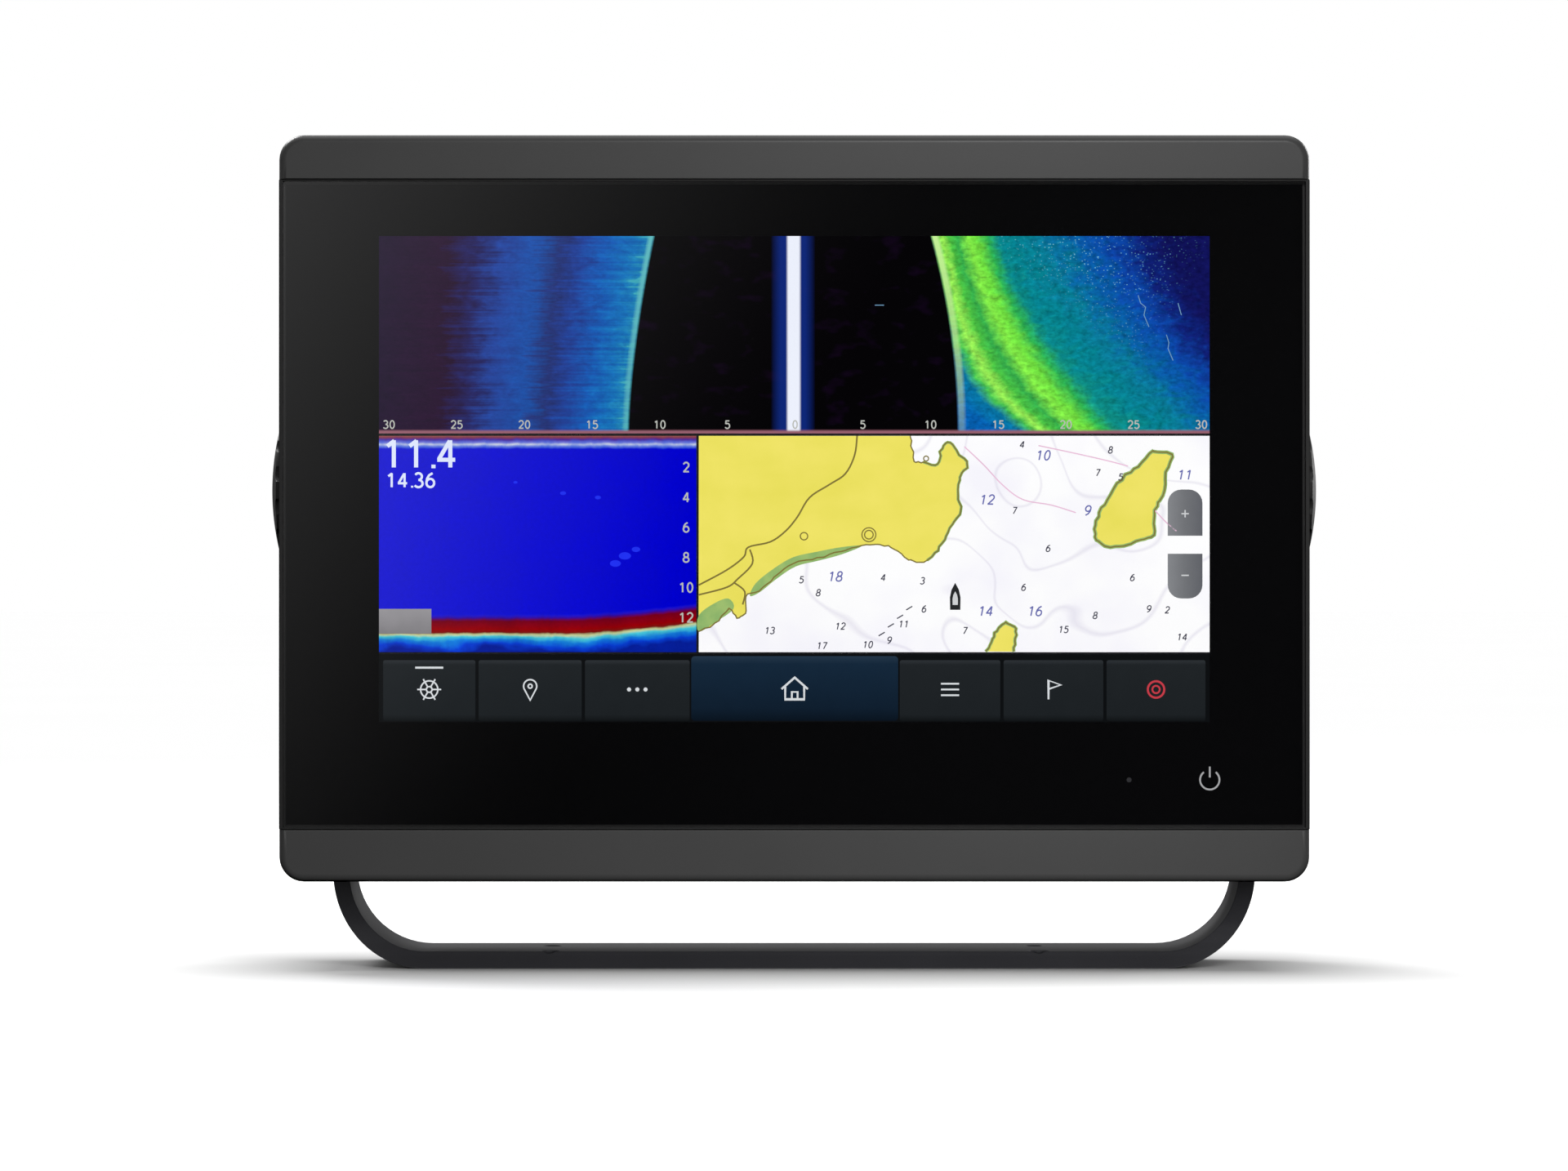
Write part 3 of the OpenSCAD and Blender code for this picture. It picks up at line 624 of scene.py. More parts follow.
def number(flat, text, centre, height, weight=0.16, lean=0.0):
    """Strokes a number about its centre. weight and lean are shares of the height."""
    cells = [POINT_CELL if digit == "." else DIGIT_CELL for digit in text]
    pen = -(sum(cells) - DIGIT_GAP) / 2
    for digit, cell in zip(text, cells):
        for stroke in STROKES[digit]:
            line = [Vector((centre[0] + (pen + p[0] + lean * p[1]) * height,
                            centre[1] + (p[1] - 0.5) * height)) for p in stroke]
            flat.stroke(line, weight * height)
        pen += cell


# Picture finishes. Their light makes up for what the glass keeps back.

SCREEN_STRENGTH = 1.09


def lit(name, paint):
    """A glowing picture finish. paint gets the tree and the shares across and down a piece."""
    made, tree = new_finish(name)
    tree.across, _, up = tree.split(tree.place("Generated"))
    tree.down = up.flip()
    tree.surface({
        "Base Color": grey(0), "Roughness": 0.5, "Specular IOR Level": 0.0,
        "Emission Color": paint(tree, tree.across, tree.down),
        "Emission Strength": SCREEN_STRENGTH})
    return made


def plain_light(name, tint, drift=0.06, fade=0.0):
    """Nearly even light, with the slight unevenness of a display and a fade towards the bottom."""
    def paint(tree, across, down):
        cloud = tree.noise(tree.place(), 1 / (5 * MM), 3)
        return tree.shade(colour(*tint), cloud.sway(drift) + down * -fade + 1.0)
    return lit(name, paint)


PORT_BED = [
    (0.0, 30, 14, 46), (0.25, 38, 12, 46), (0.36, 34, 34, 96), (0.46, 32, 66, 152),
    (0.58, 24, 78, 164), (0.66, 34, 48, 112), (0.74, 30, 62, 148), (0.84, 18, 88, 176),
    (0.93, 18, 112, 182), (0.985, 32, 132, 178), (1.0, 60, 160, 176)]
NEAR_BED = [
    (0.0, 6, 96, 176), (0.18, 8, 116, 160), (0.27, 70, 190, 80), (0.34, 150, 232, 84),
    (0.42, 74, 190, 66), (0.50, 52, 170, 74), (0.60, 128, 228, 70), (0.68, 110, 220, 64),
    (0.78, 46, 176, 80), (0.90, 14, 140, 128), (1.0, 6, 124, 150)]
FAR_BED = [
    (0.0, 14, 138, 130), (0.16, 6, 128, 142), (0.32, 10, 120, 150), (0.47, 9, 92, 162),
    (0.62, 12, 70, 166), (0.76, 15, 32, 116), (0.90, 16, 18, 86)]


def port_bed(tree, across, down, edge, streak, speckle, mottle):
    """The sea bed to the left: dark at the far side, and blue streaks up to a pale rim."""
    drawn = tree.patches(3.0, 120.0, 3, row=0.4)
    reach = across / edge + streak.sway(0.2) + drawn.sway(0.1) + mottle.sway(0.14)
    bed = tree.shade(tree.ramp(reach, PORT_BED),
                     speckle.sway(0.5) + streak.sway(0.3) + mottle.sway(0.5) + 1.0)
    rim = across.between(edge - 0.006, edge, 0.002) * (down * 0.5).flip()
    return tree.mix(rim, bed, colour(96, 184, 190))


def far_bed(tree, across, down, outer, speckle, mottle):
    """The bed beyond the green limb: darkening blue, with a crowd of pale flecks."""
    beyond = across - outer - down * 0.04 + mottle.sway(0.09)
    flecks = tree.cells(tree.join(across * 260.0, 0.0, down * 88.0), 1.0).above(0.2, 0.05).flip()
    aside = (across - 0.855 - down * 0.1).math("ABSOLUTE")
    crowd = (down * -0.22 + 0.135 - aside).above(0.03, 0.05)
    return tree.mix(flecks * crowd * speckle.above(0.5, 0.08), tree.ramp(beyond * 4.0, FAR_BED),
                    colour(120, 190, 204))


def starboard_bed(tree, across, down, edge, speckle, mottle):
    """The sea bed to the right: a bright rim, a green limb and the blue bed beyond."""
    inner = down * 0.05 + (down ** 4.0) * 0.075 + 0.672
    outer = down * 0.05 + (down ** 2.0) * 0.09 + 0.722
    limb = (across + mottle.sway(0.02) - inner) / (outer - inner)
    near = tree.ramp(limb * 0.4 + 0.3, NEAR_BED)
    far = far_bed(tree, across, down, outer, speckle, mottle)
    rough_bed = tree.patches(110.0, 40.0, 5, 0.3)
    bed = tree.shade(tree.mix(limb.above(1.45, 0.12), near, far),
                     speckle.sway(0.8) + rough_bed.sway(1.3) + mottle.sway(0.5) + 1.0)
    rim = across.between(edge, edge + 0.008, 0.002) * (down * 0.85).flip()
    return tree.mix(rim, bed, colour(196, 240, 150))


def water_column(tree, across):
    """Nearly black water, with a white line down its middle in a blue glow."""
    deep = tree.mix(tree.patches(30.0, 12.0, 2).above(0.66, 0.1),
                    colour(5, 4, 6), colour(18, 6, 26))
    glow = across.between(0.478, 0.519, 0.006)
    column = tree.mix(glow * 0.8, deep, colour(16, 44, 132))
    return tree.mix(across.between(0.4915, 0.5070, 0.0015), column, colour(236, 240, 252))


def sidescan_paint(tree, across, down):
    """Side-looking sonar: a dark water column, and the sea bed as streaks to either side."""
    rise = down.flip()
    left_edge = (rise ** 1.6) * 0.031 + 0.300
    right_edge = (rise ** 2.0) * -0.0325 + 0.6975
    streak = tree.patches(5.0, 55.0, 4)
    speckle = tree.patches(190.0, 80.0, 3)
    mottle = tree.patches(46.0, 20.0, 4, 0.6)
    port = port_bed(tree, across, down, left_edge, streak, speckle, mottle)
    starboard = starboard_bed(tree, across, down, right_edge, speckle, mottle)
    picture = tree.mix(across.above(left_edge, 0.0015), port, water_column(tree, across))
    picture = tree.mix(across.above(right_edge, 0.0015), picture, starboard)
    return tree.mix(down.above(0.985, 0.006), picture, colour(150, 96, 110))


OPEN_WATER = [(0.0, 24, 24, 206), (0.5, 12, 12, 206), (1.0, 0, 0, 200)]
BED_ECHOES = [
    (0.0, 20, 40, 226), (0.12, 60, 10, 130), (0.2, 112, 0, 28), (0.42, 146, 0, 6),
    (0.5, 120, 20, 16), (0.56, 196, 208, 150), (0.63, 70, 196, 210), (0.74, 20, 122, 214),
    (0.88, 8, 60, 206), (1.0, 6, 30, 150)]
SURFACE_ECHOES = [
    (0.0, 146, 82, 78), (0.16, 120, 50, 84), (0.30, 70, 34, 150), (0.50, 110, 112, 214),
    (0.66, 206, 214, 226), (0.80, 110, 130, 224), (1.0, 14, 20, 206)]


def bed_echoes(tree, depth, grain, cloud):
    """A dark red bed, with pale and blue echoes under it that wander."""
    rank = (depth - 0.82) / 0.18
    swell = tree.patches(7.0, 9.0, 3, row=0.3) - 0.5
    band = tree.ramp(rank + swell * rank.above(0.62, 0.2) * 0.6, BED_ECHOES)
    return tree.shade(band, grain.sway(0.3) + cloud.sway(0.7) + 1.0)


def surface_echoes(tree, depth):
    """The echoes of the water's surface: a pale line between violet and blue."""
    line = tree.ramp(depth / 0.06, SURFACE_ECHOES)
    patch = tree.patches(34.0, 20.0, 3, row=0.7).above(0.5, 0.16)
    return tree.mix(patch * depth.above(0.018, 0.01) * 0.55, line, colour(44, 96, 214))


def depth_paint(tree, across, down):
    """Downward sonar: the surface line, blue water, and a dark red bed with light under it."""
    ragged = tree.noise(tree.join(across * 26.0, 0.0, 0.0), 1.0, 4).sway(0.03)
    cloud = tree.patches(9.0, 7.0, 4)
    grain = tree.patches(90.0, 60.0, 2)
    water = tree.shade(tree.ramp(across + cloud.sway(0.3), OPEN_WATER),
                       grain.sway(0.22) + cloud.sway(0.2) + 1.0)
    bend = ((across - 0.58).math("MAXIMUM", 0.0) ** 1.6) * 0.2
    bed = down + bend + ragged * 0.5
    picture = tree.mix(bed.above(0.835, 0.012), water, bed_echoes(tree, bed, grain, cloud))
    top = down + ragged * 0.5
    return tree.mix(top.above(0.057, 0.006), surface_echoes(tree, top), picture)


def water_paint(tree, across, down):
    """Open water on the chart: white, with faint depth contours that wander."""
    place = tree.join(across * 2.6, 0.0, down * 1.2)
    rings = (tree.noise(place, 1.0, 1.5, 0.15) * 8.0).math("FRACT")
    contour = (rings - 0.5).math("ABSOLUTE").above(0.475, 0.03)
    tinted = tree.mix(tree.noise(place, 2.2, 3).above(0.56, 0.12), colour(253, 253, 254),
                      colour(246, 245, 252))
    return tree.mix(contour * 0.5, tinted, colour(212, 208, 226))


def mottled(wide, high, stops):
    """Paints patches in two shades."""
    def paint(tree, across, down):
        return tree.ramp(tree.patches(wide, high, 4), stops)
    return paint


LAND = mottled(9.0, 6.0, [(0.3, 232, 222, 92), (0.7, 240, 228, 104)])
SHOAL = mottled(30.0, 12.0, [(0.35, 158, 190, 112), (0.7, 128, 172, 104)])


def shaded_key(stops, sideways=False, patch=4 * MM, drift=0.12):
    """Paints a soft key: shades down it or across it, and a slight unevenness."""
    def paint(tree, across, down):
        cloud = tree.noise(tree.place(), 1 / patch, 2)
        return tree.shade(tree.ramp(across if sideways else down, stops), cloud.sway(drift) + 1.0)
    return paint


BUTTON_KEY = shaded_key(
    [(0.0, 46, 50, 54), (0.08, 32, 36, 39), (0.9, 29, 33, 36), (1.0, 18, 21, 23)])
HOME_KEY = shaded_key(
    [(0.0, 36, 54, 72), (0.12, 21, 40, 59), (0.8, 16, 31, 47), (1.0, 10, 20, 31)])
ZOOM_KEY = shaded_key(
    [(0.0, 132, 134, 138), (0.5, 112, 114, 118), (1.0, 96, 98, 104)], True, 3 * MM, 0.1)


# The picture: side sonar above, depth sonar and chart below it, and a menu bar

SIDESCAN = Panel(0.0, 0.0, 1.0, 0.406)
DEPTH = Panel(0.0, 0.411, 0.382, 0.856)
CHART = Panel(0.385, 0.411, 1.0, 0.856)
MENU = Panel(0.0, 0.860, 1.0, 1.0)

MAINLAND = [
    (0.415, 0.0), (0.418, 0.06), (0.421, 0.115), (0.44, 0.125), (0.468, 0.128), (0.475, 0.06),
    (0.492, 0.028), (0.508, 0.085), (0.526, 0.13), (0.512, 0.19), (0.506, 0.27), (0.514, 0.35),
    (0.495, 0.41), (0.48, 0.48), (0.462, 0.545), (0.44, 0.585), (0.41, 0.57), (0.384, 0.525),
    (0.355, 0.505), (0.317, 0.51), (0.278, 0.535), (0.233, 0.565), (0.186, 0.59), (0.149, 0.65),
    (0.117, 0.715), (0.092, 0.745), (0.09, 0.82), (0.075, 0.84), (0.06, 0.80), (0.03, 0.87),
    (0.0, 0.905)]
ISLAND = [
    (0.889, 0.07), (0.925, 0.085), (0.916, 0.17), (0.908, 0.28), (0.893, 0.34), (0.89, 0.46),
    (0.866, 0.48), (0.823, 0.515), (0.79, 0.50), (0.775, 0.45), (0.782, 0.37), (0.80, 0.295),
    (0.828, 0.2), (0.86, 0.14)]
ISLET = [
    (0.562, 1.0), (0.575, 0.955), (0.583, 0.9), (0.602, 0.865), (0.621, 0.895), (0.619, 0.95),
    (0.616, 1.0)]
SHOALS = [
    [(0.32, 0.508), (0.278, 0.515), (0.233, 0.535), (0.186, 0.56), (0.149, 0.61), (0.112, 0.68),
     (0.10, 0.74), (0.12, 0.722), (0.152, 0.662), (0.19, 0.604), (0.235, 0.577), (0.28, 0.548)],
    [(0.0, 0.83), (0.03, 0.775), (0.058, 0.752), (0.068, 0.80), (0.032, 0.862), (0.0, 0.905)]]
MARKERS = [((0.333, 0.457), 1.7), ((0.333, 0.457), 1.05), ((0.206, 0.464), 0.9),
           ((0.445, 0.105), 0.6)]
ROADS = [
    [(0.31, 0.0), (0.305, 0.09), (0.287, 0.175), (0.256, 0.225), (0.217, 0.285), (0.193, 0.375),
     (0.17, 0.44), (0.14, 0.49), (0.097, 0.515), (0.088, 0.56), (0.055, 0.62), (0.0, 0.69)],
    [(0.1, 0.525), (0.105, 0.59), (0.077, 0.66), (0.055, 0.70), (0.0, 0.735)],
    [(0.07, 0.68), (0.09, 0.72), (0.086, 0.78)]]
ROUTES = [
    [(0.52, 0.05), (0.558, 0.135), (0.596, 0.23), (0.635, 0.295), (0.69, 0.32), (0.738, 0.355)],
    [(0.665, 0.045), (0.735, 0.08), (0.80, 0.115), (0.84, 0.14)],
    [(0.893, 0.345), (0.915, 0.40), (0.935, 0.44)]]
DEEPS = [(0.563, 0.295, "12"), (0.266, 0.65, "18"), (0.56, 0.81, "14"), (0.657, 0.81, "16"),
         (0.76, 0.345, "9"), (0.95, 0.18, "11"), (0.673, 0.09, "10")]
SHALLOWS = [(0.617, 0.345, "7"), (0.683, 0.52, "6"), (0.20, 0.665, "5"), (0.233, 0.725, "8"),
            (0.138, 0.90, "13"), (0.276, 0.88, "12"), (0.36, 0.655, "4"), (0.437, 0.67, "3"),
            (0.635, 0.70, "6"), (0.713, 0.895, "15"), (0.775, 0.83, "8"), (0.88, 0.80, "9"),
            (0.916, 0.805, "2"), (0.945, 0.93, "14"), (0.632, 0.04, "4"), (0.78, 0.17, "7"),
            (0.825, 0.19, "5"), (0.848, 0.655, "6"), (0.805, 0.065, "8"), (0.44, 0.80, "6"),
            (0.40, 0.87, "11"), (0.372, 0.945, "9"), (0.52, 0.90, "7"), (0.33, 0.965, "10"),
            (0.24, 0.97, "17")]

# Sonar drawings. Places are shares of a panel.

SIDE_SCALE = (30, 25, 20, 15, 10, 5, 0, 5, 10, 15, 20, 25, 30)
SIDE_SCALE_START, SIDE_SCALE_STEP, SIDE_SCALE_DOWN = 0.012, 0.0815, 0.955
SIDE_SCALE_TEXT = 1.9 * MM
DEPTH_SCALE = (2, 4, 6, 8, 10, 12)
DEPTH_SCALE_ACROSS, DEPTH_SCALE_START, DEPTH_SCALE_STEP = 0.968, 0.145, 0.139
DEPTH_SCALE_TEXT = 2.3 * MM
DEPTH_TEXT = 6.6 * MM
WARMTH_TEXT = 3.4 * MM
FISH = ((0.775, 0.555, 1.0), (0.745, 0.59, 0.9), (0.58, 0.265, 0.5), (0.69, 0.285, 0.5),
        (0.43, 0.215, 0.35), (0.81, 0.525, 0.7))
FISH_HALF_X, FISH_HALF_Z = 1.5 * MM, 0.9 * MM
GLINTS = (
    [(0.914, 0.30), (0.917, 0.34), (0.923, 0.36), (0.921, 0.40), (0.927, 0.46)],
    [(0.948, 0.50), (0.951, 0.54), (0.950, 0.57), (0.956, 0.63)],
    [(0.962, 0.34), (0.966, 0.40)],
    [(0.597, 0.35), (0.608, 0.35)])
GLINT_PEN = 0.2 * MM


def draw_numbers():
    """The scales of both sonars, and the two readings in the depth sonar's corner."""
    scale = Flat(DETAILS)
    for i, reach in enumerate(SIDE_SCALE):
        place = SIDESCAN.at(SIDE_SCALE_START + SIDE_SCALE_STEP * i, SIDE_SCALE_DOWN)
        number(scale, str(reach), place, SIDE_SCALE_TEXT)
    for i, depth in enumerate(DEPTH_SCALE):
        place = DEPTH.at(DEPTH_SCALE_ACROSS, DEPTH_SCALE_START + DEPTH_SCALE_STEP * i)
        number(scale, str(depth), place, DEPTH_SCALE_TEXT)
    scale.piece("screen_scale", plain_light("scale", (184, 186, 180)))
    reading = Flat(DETAILS)
    number(reading, "11.4", DEPTH.at(0.128, 0.083), DEPTH_TEXT, 0.15)
    number(reading, "14.36", DEPTH.at(0.10, 0.205), WARMTH_TEXT, 0.16)
    reading.piece("screen_reading", plain_light("reading", (222, 230, 252)))


def draw_echoes():
    """Fish and a grey patch in the depth sonar, and glints on the side sonar's bed."""
    fish = Flat(SHAPES)
    for across, down, size in FISH:
        fish.fill(arc(DEPTH.at(across, down), FISH_HALF_X * size, FISH_HALF_Z * size, 0, 350, 12))
    fish.piece("screen_fish", plain_light("fish", (32, 48, 236), 0.4))
    glints = Flat(SHAPES)
    for line in GLINTS:
        glints.stroke(SIDESCAN.line(line), GLINT_PEN)
    glints.piece("screen_glints", plain_light("glint", (112, 156, 190), 0.6))
    key = Flat(SHAPES).fill(rectangle(DEPTH.at(0, 0.80), DEPTH.at(0.165, 0.915)))
    key.piece("screen_key", plain_light("key", (150, 148, 152), 0.2, 0.3))


def draw_sonar():
    side = Flat(BASE).fill(SIDESCAN.outline())
    side.piece("screen_sidescan", lit("sidescan", sidescan_paint))
    Flat(BASE).fill(DEPTH.outline()).piece("screen_depth", lit("depth", depth_paint))
    draw_numbers()
    draw_echoes()


# Chart drawings

COAST_STEPS = 4
COAST_JITTER = 0.0022
SHOAL_STRETCH = slice(12, 60)
ROAD_PEN = 0.42 * MM
SHORE_PEN = 0.34 * MM
CHART_PEN = 0.3 * MM
DEEP_TEXT = 2.3 * MM
SHALLOW_TEXT = 1.6 * MM
SOUNDING_LEAN = 0.2
TICKS = 4
TICK_START, TICK_STEP = (0.352, 0.925), (0.018, -0.04)
ZOOM_LEFT, ZOOM_RIGHT = 0.918, 0.986
ZOOM_ROUND, ZOOM_SQUARE = 3.3 * MM, 4 * MM
PLUS, MINUS = (0.952, 0.36), (0.952, 0.645)
SIGN_PEN = 0.32 * MM
BOAT = (0.502, 0.755)

# In millimetres
TICK = (1.5, 0.9)
SIGN_HALF = 0.9
HULL = ((0.0, 4.0), (0.9, 2.3), (1.3, 0.4), (1.25, -2.6), (-1.25, -2.6), (-1.3, 0.4), (-0.9, 2.3))


def coast(points, seed):
    """A shoreline: the given points, smoothed and then roughened."""
    chance = random.Random(seed)

    def shift():
        return chance.uniform(-COAST_JITTER, COAST_JITTER)

    return [Vector((p[0] + shift(), p[1] + shift() * 2)) for p in smooth(points, COAST_STEPS)]


def draw_land(mainland, island, islet):
    """The water, the land on it and the shoals along the shores."""
    Flat(BASE).fill(CHART.outline()).piece("screen_water", lit("water", water_paint))
    land = Flat(SHAPES)
    land.fill(CHART.line(mainland + [(0.0, 0.0)]), CHART.line(island), CHART.line(islet))
    land.piece("screen_land", lit("land", LAND))
    shoals = Flat(DETAILS)
    for outline in SHOALS:
        shoals.fill(CHART.line(smooth(outline, COAST_STEPS, True)))
    for shore, width in ((island, 0.9), (islet, 0.8), (mainland[SHOAL_STRETCH], 0.7)):
        shoals.stroke(CHART.line(shore), width * MM)
    shoals.piece("screen_shoals", lit("shoal", SHOAL))


def draw_lines(shores):
    """Roads, shorelines and markers, and the routes over the water."""
    lines = Flat(LINES)
    for road in ROADS:
        lines.stroke(CHART.line(smooth(road)), ROAD_PEN)
    for shore in shores:
        lines.stroke(CHART.line(shore), SHORE_PEN)
    for middle, radius in MARKERS:
        lines.stroke(circle(CHART.at(*middle), radius * MM, 20), CHART_PEN, True)
    lines.piece("screen_roads", plain_light("road", (128, 116, 58), 0.3))
    routes = Flat(LINES)
    for route in ROUTES:
        routes.stroke(CHART.line(smooth(route)), CHART_PEN)
    routes.piece("screen_routes", plain_light("route", (232, 190, 216), 0.2))


def draw_soundings():
    """Large and small depths in the water, and a few ticks."""
    deeps, shallows = Flat(LINES), Flat(LINES)
    for across, down, text in DEEPS:
        number(deeps, text, CHART.at(across, down), DEEP_TEXT, 0.15, SOUNDING_LEAN)
    for across, down, text in SHALLOWS:
        number(shallows, text, CHART.at(across, down), SHALLOW_TEXT, 0.17, SOUNDING_LEAN)
    for i in range(TICKS):
        start = CHART.at(TICK_START[0] + TICK_STEP[0] * i, TICK_START[1] + TICK_STEP[1] * i)
        shallows.stroke([start, start + Vector(TICK) * MM], CHART_PEN)
    deeps.piece("screen_soundings_deep", plain_light("deep", (104, 108, 176), 0.2))
    shallows.piece("screen_soundings", plain_light("shallow", (66, 66, 82), 0.2))


def draw_zoom_keys():
    """Two keys at the chart's right edge, square where they face each other."""
    zoom = Flat(LINES)
    low, high = CHART.at(ZOOM_LEFT, 0.462), CHART.at(ZOOM_RIGHT, 0.248)
    zoom.fill(round_box(low, high, ZOOM_ROUND), rectangle(low, (high.x, low.y + ZOOM_SQUARE)))
    low, high = CHART.at(ZOOM_LEFT, 0.752), CHART.at(ZOOM_RIGHT, 0.545)
    zoom.fill(round_box(low, high, ZOOM_ROUND), rectangle((low.x, high.y - ZOOM_SQUARE), high))
    zoom.piece("screen_zoom_keys", lit("zoom", ZOOM_KEY))


def draw_boat():
    """The boat, and its deck together with the signs on the zoom keys."""
    centre = CHART.at(*BOAT)
    boat = Flat(LINES).fill([centre + Vector(p) * MM for p in HULL])
    boat.piece("screen_boat", plain_light("boat", (38, 40, 42), 0.2))
    marks = Flat(TOP).fill([centre + Vector((p[0] * 0.5, p[1] * 0.5 - 0.1)) * MM for p in HULL])
    half_x, half_z = Vector((SIGN_HALF, 0)) * MM, Vector((0, SIGN_HALF)) * MM
    for place, half in ((PLUS, half_x), (PLUS, half_z), (MINUS, half_x)):
        spot = CHART.at(*place)
        marks.stroke([spot - half, spot + half], SIGN_PEN)
    marks.piece("screen_marks", plain_light("mark", (206, 208, 210), 0.1))


def draw_chart():
    shores = coast(MAINLAND, 3), coast(ISLAND + ISLAND[:1], 5), coast(ISLET, 7)
    draw_land(*shores)
    draw_lines(shores)
    draw_soundings()
    draw_zoom_keys()
    draw_boat()


# Menu bar

BUTTON_EDGES = (0.003, 0.118, 0.246, 0.376, 0.625, 0.750, 0.874, 0.997)
BUTTON_INSET = 0.002
BUTTON_TOP, BUTTON_BOTTOM = 0.09, 0.98
BUTTON_ROUND = 0.5 * MM
HOME_BUTTON = 3
HOME_TOP = 0.03
HOME_ROUND = 0.9 * MM
ICON_DOWN = 0.52
THIN_PEN, PEN, THICK_PEN = 0.36 * MM, 0.42 * MM, 0.5 * MM

# Icons, as strokes in millimetres from the middle of a button: the points, the pen and, for a
# line whose ends meet, True
SPOKES = [Vector((math.cos(math.radians(turn)), math.sin(math.radians(turn))))
          for turn in range(0, 360, 60)]
WHEEL = [(circle((0, 0), 2.1, 28), THIN_PEN, True), (circle((0, 0), 0.7, 16), THIN_PEN, True),
         *(([way * 0.7, way * 2.9], THIN_PEN) for way in SPOKES),
         ([(-3.4, 5.3), (3.4, 5.3)], THICK_PEN)]
PIN = [(arc((0, 0.8), 1.6, 1.6, -35, 215, 18) + [Vector((0, -2.6))], THIN_PEN, True),
       (circle((0, 0.8), 0.5, 10), THIN_PEN, True)]
HOUSE = [([(-3.2, 0.1), (0, 2.9), (3.2, 0.1)], THICK_PEN),
         ([(-2.3, 0.7), (-2.3, -2.4), (2.3, -2.4), (2.3, 0.7)], THICK_PEN),
         ([(-0.7, -2.4), (-0.7, -0.6), (0.7, -0.6), (0.7, -2.4)], PEN)]
LIST = [([(-2.2, up), (2.2, up)], PEN) for up in (-1.4, 0.0, 1.4)]
FLAG = [([(-1.2, -2.4), (-1.2, 2.2), (1.8, 1.1), (-1.2, 0.1)], PEN)]
DOTS = (-2.0, 0.0, 2.0)
DOT_RADIUS = 0.5 * MM
ALERT_RADIUS, ALERT_HOLE = 2.0 * MM, 0.9 * MM


def draw_buttons():
    """The bar behind the buttons, the dark keys and the wider home key."""
    bar = Flat(BASE).fill(MENU.outline())
    bar.piece("screen_menu", plain_light("menu", (14, 16, 18)))
    keys = Flat(SHAPES)
    for i, (left, right) in enumerate(zip(BUTTON_EDGES, BUTTON_EDGES[1:])):
        if i != HOME_BUTTON:
            low = MENU.at(left + BUTTON_INSET, BUTTON_BOTTOM)
            keys.fill(round_box(low, MENU.at(right - BUTTON_INSET, BUTTON_TOP), BUTTON_ROUND))
    keys.piece("screen_menu_keys", lit("menu_key", BUTTON_KEY))
    low = MENU.at(BUTTON_EDGES[HOME_BUTTON], BUTTON_BOTTOM)
    high = MENU.at(BUTTON_EDGES[HOME_BUTTON + 1], HOME_TOP)
    home = Flat(DETAILS).fill(round_box(low, high, HOME_ROUND))
    home.piece("screen_home_key", lit("home_key", HOME_KEY))


def draw_icons(spots):
    """A wheel, a pin, dots, a house, a list and a flag, and a red ring on the last button."""
    icons = Flat(LINES)
    for spot, strokes in zip(spots, (WHEEL, PIN, (), HOUSE, LIST, FLAG)):
        for points, width, *closed in strokes:
            icons.stroke([spot + Vector(p) * MM for p in points], width, *closed)
    for across in DOTS:
        centre = spots[2] + Vector((across, 0)) * MM
        icons.fill(arc(centre, DOT_RADIUS, DOT_RADIUS, 0, 345, 12))
    icons.piece("screen_icons", plain_light("icon", (214, 218, 222)))
    alert = Flat(LINES)
    alert.stroke(circle(spots[6], ALERT_RADIUS, 32), THICK_PEN, True)
    alert.stroke(circle(spots[6], ALERT_HOLE, 20), PEN, True)
    alert.piece("screen_alert", plain_light("alert", (196, 60, 72)))


def draw_menu():
    draw_buttons()
    draw_icons([MENU.at((a + b) / 2, ICON_DOWN) for a, b in zip(BUTTON_EDGES, BUTTON_EDGES[1:])])


# Printing under the glass

POWER_RING = 2.35 * MM
POWER_RING_START, POWER_RING_STOP = 128, 412
POWER_BAR_LOW, POWER_BAR_HIGH = 0.6 * MM, 3.2 * MM
POWER_PEN = 0.42 * MM


def draw_key_print():
    """The power symbol printed under the glass: a ring open at the top, and a bar in the gap."""
    made = grained("print", (0.30, 0.30, 0.31, 1), 0.5, 0.3, 0.001, 0.2)
    ring = Flat(BASE)
    ring.stroke(arc((KEY_X, KEY_Z), POWER_RING, POWER_RING, POWER_RING_START, POWER_RING_STOP, 40),
                POWER_PEN)
    ring.stroke([(KEY_X, KEY_Z + POWER_BAR_LOW), (KEY_X, KEY_Z + POWER_BAR_HIGH)], POWER_PEN)
    ring.piece("power_symbol", made, PRINT_Y, "border_ink")


# Studio

WORLD_BELOW, WORLD_ABOVE = 0.22, 0.62

# The panel that mirrors see: how its light rises across and up, and where it starts and ends
PANEL_ACROSS, PANEL_UP, PANEL_START = -5.6, 3.7, 0.057
PANEL_BRIGHT = 0.75
PANEL_END, PANEL_FADE = 1.5, 0.6
PANEL_NEAREST = 0.15

# Name, the way it comes from, degrees across, strength, and whether mirrors see it
SKY_LIGHTS = (
    ("sky_top", (-0.1, 0.15, 1.0), 80, 1.06, True),
    ("sky_rear", (-0.3, 1.0, 0.6), 60, 0.8, False))

# Name, place, width and height, power, and whether mirrors see it
SOFT_BOXES = (
    ("front_high", (0.09, -0.65, 0.41), (0.09, 0.14), 0.8, True),
    ("front_fill", (0.08, -0.27, 0.08), (0.08, 0.12), 0.6, False),
    ("rear_left", (-0.55, 0.55, 0.85), (0.5, 0.4), 7.0, True),
    ("rear_right", (0.70, 0.60, 0.35), (0.25, 0.5), 3.0, True))
SOFT_BOX_TARGET = (0.03, -0.03, 0.11)


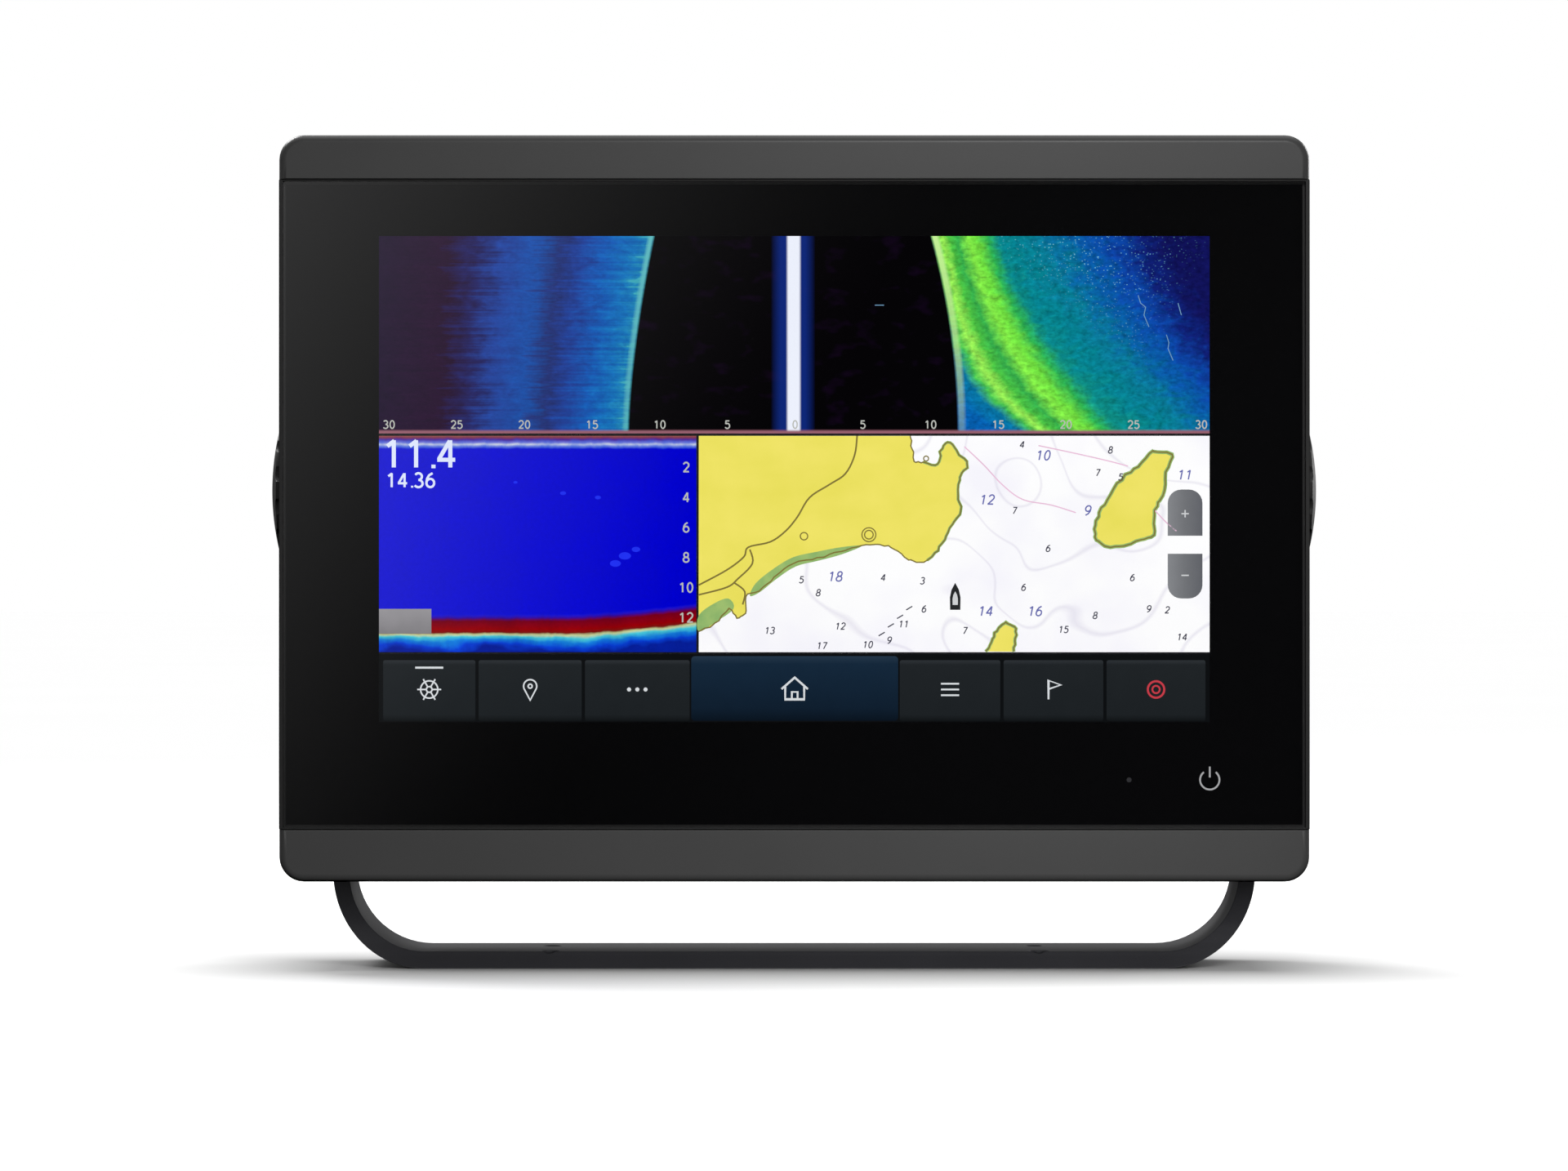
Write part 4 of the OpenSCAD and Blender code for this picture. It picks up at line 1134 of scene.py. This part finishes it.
def add_light(name, kind, place, target, strength):
    data = bpy.data.lights.new(name, kind)
    data.energy = strength
    made = add_object(name, data)
    made.location = place
    way = Vector(target) - made.location
    made.rotation_euler = way.to_track_quat("-Z", "Y").to_euler()
    return made


def sky_light(name, place, spread, strength, glossy):
    """Even light from a wide patch of sky, centred the way of place, spread degrees across."""
    made = add_light(name, "SUN", place, (0, 0, 0), strength)
    made.data.angle = math.radians(spread)
    made.visible_glossy = glossy


def soft_box(name, place, size, power, glossy):
    """A rectangular lamp that the camera doesn't see."""
    made = add_light(name, "AREA", place, SOFT_BOX_TARGET, power)
    made.visible_glossy = glossy
    made.data.shape = "RECTANGLE"
    made.data.size, made.data.size_y = size
    made.visible_camera = False


def mirrored_room(tree, x, y, z):
    """What mirrors see: a dark room, with a soft panel in front, up and to the left."""
    ahead = (y * -1.0).math("MAXIMUM", PANEL_NEAREST)
    slope = (x / ahead) * PANEL_ACROSS + (z / ahead) * PANEL_UP - PANEL_START
    rise = slope.math("MAXIMUM", 0.0).math("MINIMUM", PANEL_BRIGHT) ** 2.0
    panel = rise * slope.above(PANEL_END, PANEL_FADE).flip()
    return tree.mix((y * -1.0).above(0.1, 0.3), z * 0.3 + 0.1, panel)


def make_world():
    """White behind the object, and even light that is dimmer from below. Mirrors see a room of
    their own."""
    world = bpy.data.worlds.new("studio")
    bpy.context.scene.world = world
    tree = Tree(world)
    x, y, z = tree.split(tree.place("Generated"))
    around = tree.mix(z.above(0.0, 0.35), grey(WORLD_BELOW), grey(WORLD_ABOVE))
    rays = tree.node("LightPath").outputs
    lit_side = tree.mix(rays["Is Glossy Ray"], around, mirrored_room(tree, x, y, z))
    seen = tree.mix(rays["Is Camera Ray"], lit_side, grey(1.0))
    back = tree.node("Background", {"Color": seen, "Strength": 1.0})
    tree.node("OutputWorld", {"Surface": back.outputs[0]})
    world.cycles.sampling_method = "NONE"


FLOOR_HALF = 20.0
FLOOR_CELLS = 24
FLOOR_TONE = 0.93
FLOOR_PATCH = 400 * MM
# A painted shadow on the floor round the bail's foot: how dark it gets, the half sizes and middle
# of the patch where it is full, and how far it fades outside that patch
PAINTED_FOOT_SHADOW = 0.66
PAINTED_FOOT_SHADOW_HALF_X = 112 * MM
PAINTED_FOOT_SHADOW_HALF_Y = 18 * MM
PAINTED_FOOT_SHADOW_Y = -6 * MM
PAINTED_FOOT_SHADOW_REACH = 48 * MM


def floor_finish():
    """A pale matt floor, with a painted shadow that darkens it close to the bail's foot."""
    made, tree = new_finish("floor")
    place = tree.place()
    cloud = tree.noise(place, 1 / FLOOR_PATCH, 3)
    x, y, _ = tree.split(place)
    # Painted shadow: full over a patch round the foot, then fading with the distance from that
    # patch
    aside = (x.math("ABSOLUTE") - PAINTED_FOOT_SHADOW_HALF_X).math("MAXIMUM", 0.0)
    ahead = ((y - PAINTED_FOOT_SHADOW_Y).math("ABSOLUTE") - PAINTED_FOOT_SHADOW_HALF_Y).math("MAXIMUM", 0.0)
    away = (aside ** 2.0 + ahead ** 2.0).math("SQRT")
    painted_shadow = (away * (-1 / PAINTED_FOOT_SHADOW_REACH)).math("EXPONENT") * PAINTED_FOOT_SHADOW
    tree.surface({
        "Base Color": tree.shade(grey(FLOOR_TONE), cloud.sway(0.02) - painted_shadow + 1.0),
        "Roughness": 0.9, "Specular IOR Level": 0.0})
    return made


def make_floor():
    """A floor large enough to fill any view, which only the camera and shadows meet."""
    data = bpy.data.meshes.new("floor")
    mesh = bmesh.new()
    bmesh.ops.create_grid(mesh, x_segments=FLOOR_CELLS, y_segments=FLOOR_CELLS, size=FLOOR_HALF)
    mesh.to_mesh(data)
    mesh.free()
    data.materials.append(floor_finish())
    floor = add_object("floor", data)
    floor.visible_glossy = False
    floor.visible_diffuse = False


def make_studio():
    make_world()
    make_floor()
    for light in SKY_LIGHTS:
        sky_light(*light)
    for light in SOFT_BOXES:
        soft_box(*light)
    bpy.context.scene.view_settings.view_transform = "Standard"
    bpy.context.scene.view_settings.look = "None"


CAMERA_BACK = 1500 * MM
CAMERA_SIDE = -2.5 * MM
CAMERA_HEIGHT = 93.7 * MM
CAMERA_LENS = 142.0
CAMERA_SENSOR = 36.0
CAMERA_NEAREST, CAMERA_FURTHEST = 0.05, 50.0


def make_camera():
    """Level with the lower part of the face and straight in front of it."""
    data = bpy.data.cameras.new("camera")
    data.lens = CAMERA_LENS
    data.sensor_width = CAMERA_SENSOR
    data.clip_start, data.clip_end = CAMERA_NEAREST, CAMERA_FURTHEST
    camera = add_object("camera", data)
    camera.location = (CAMERA_SIDE, glass_low.y - CAMERA_BACK, CAMERA_HEIGHT)
    camera.rotation_euler = (math.pi / 2, 0, 0)
    bpy.context.scene.camera = camera


dress_cad()
build_trim("top_trim", 1)
build_trim("bottom_trim", -1)
draw_sonar()
draw_chart()
draw_menu()
draw_key_print()
make_studio()
make_camera()
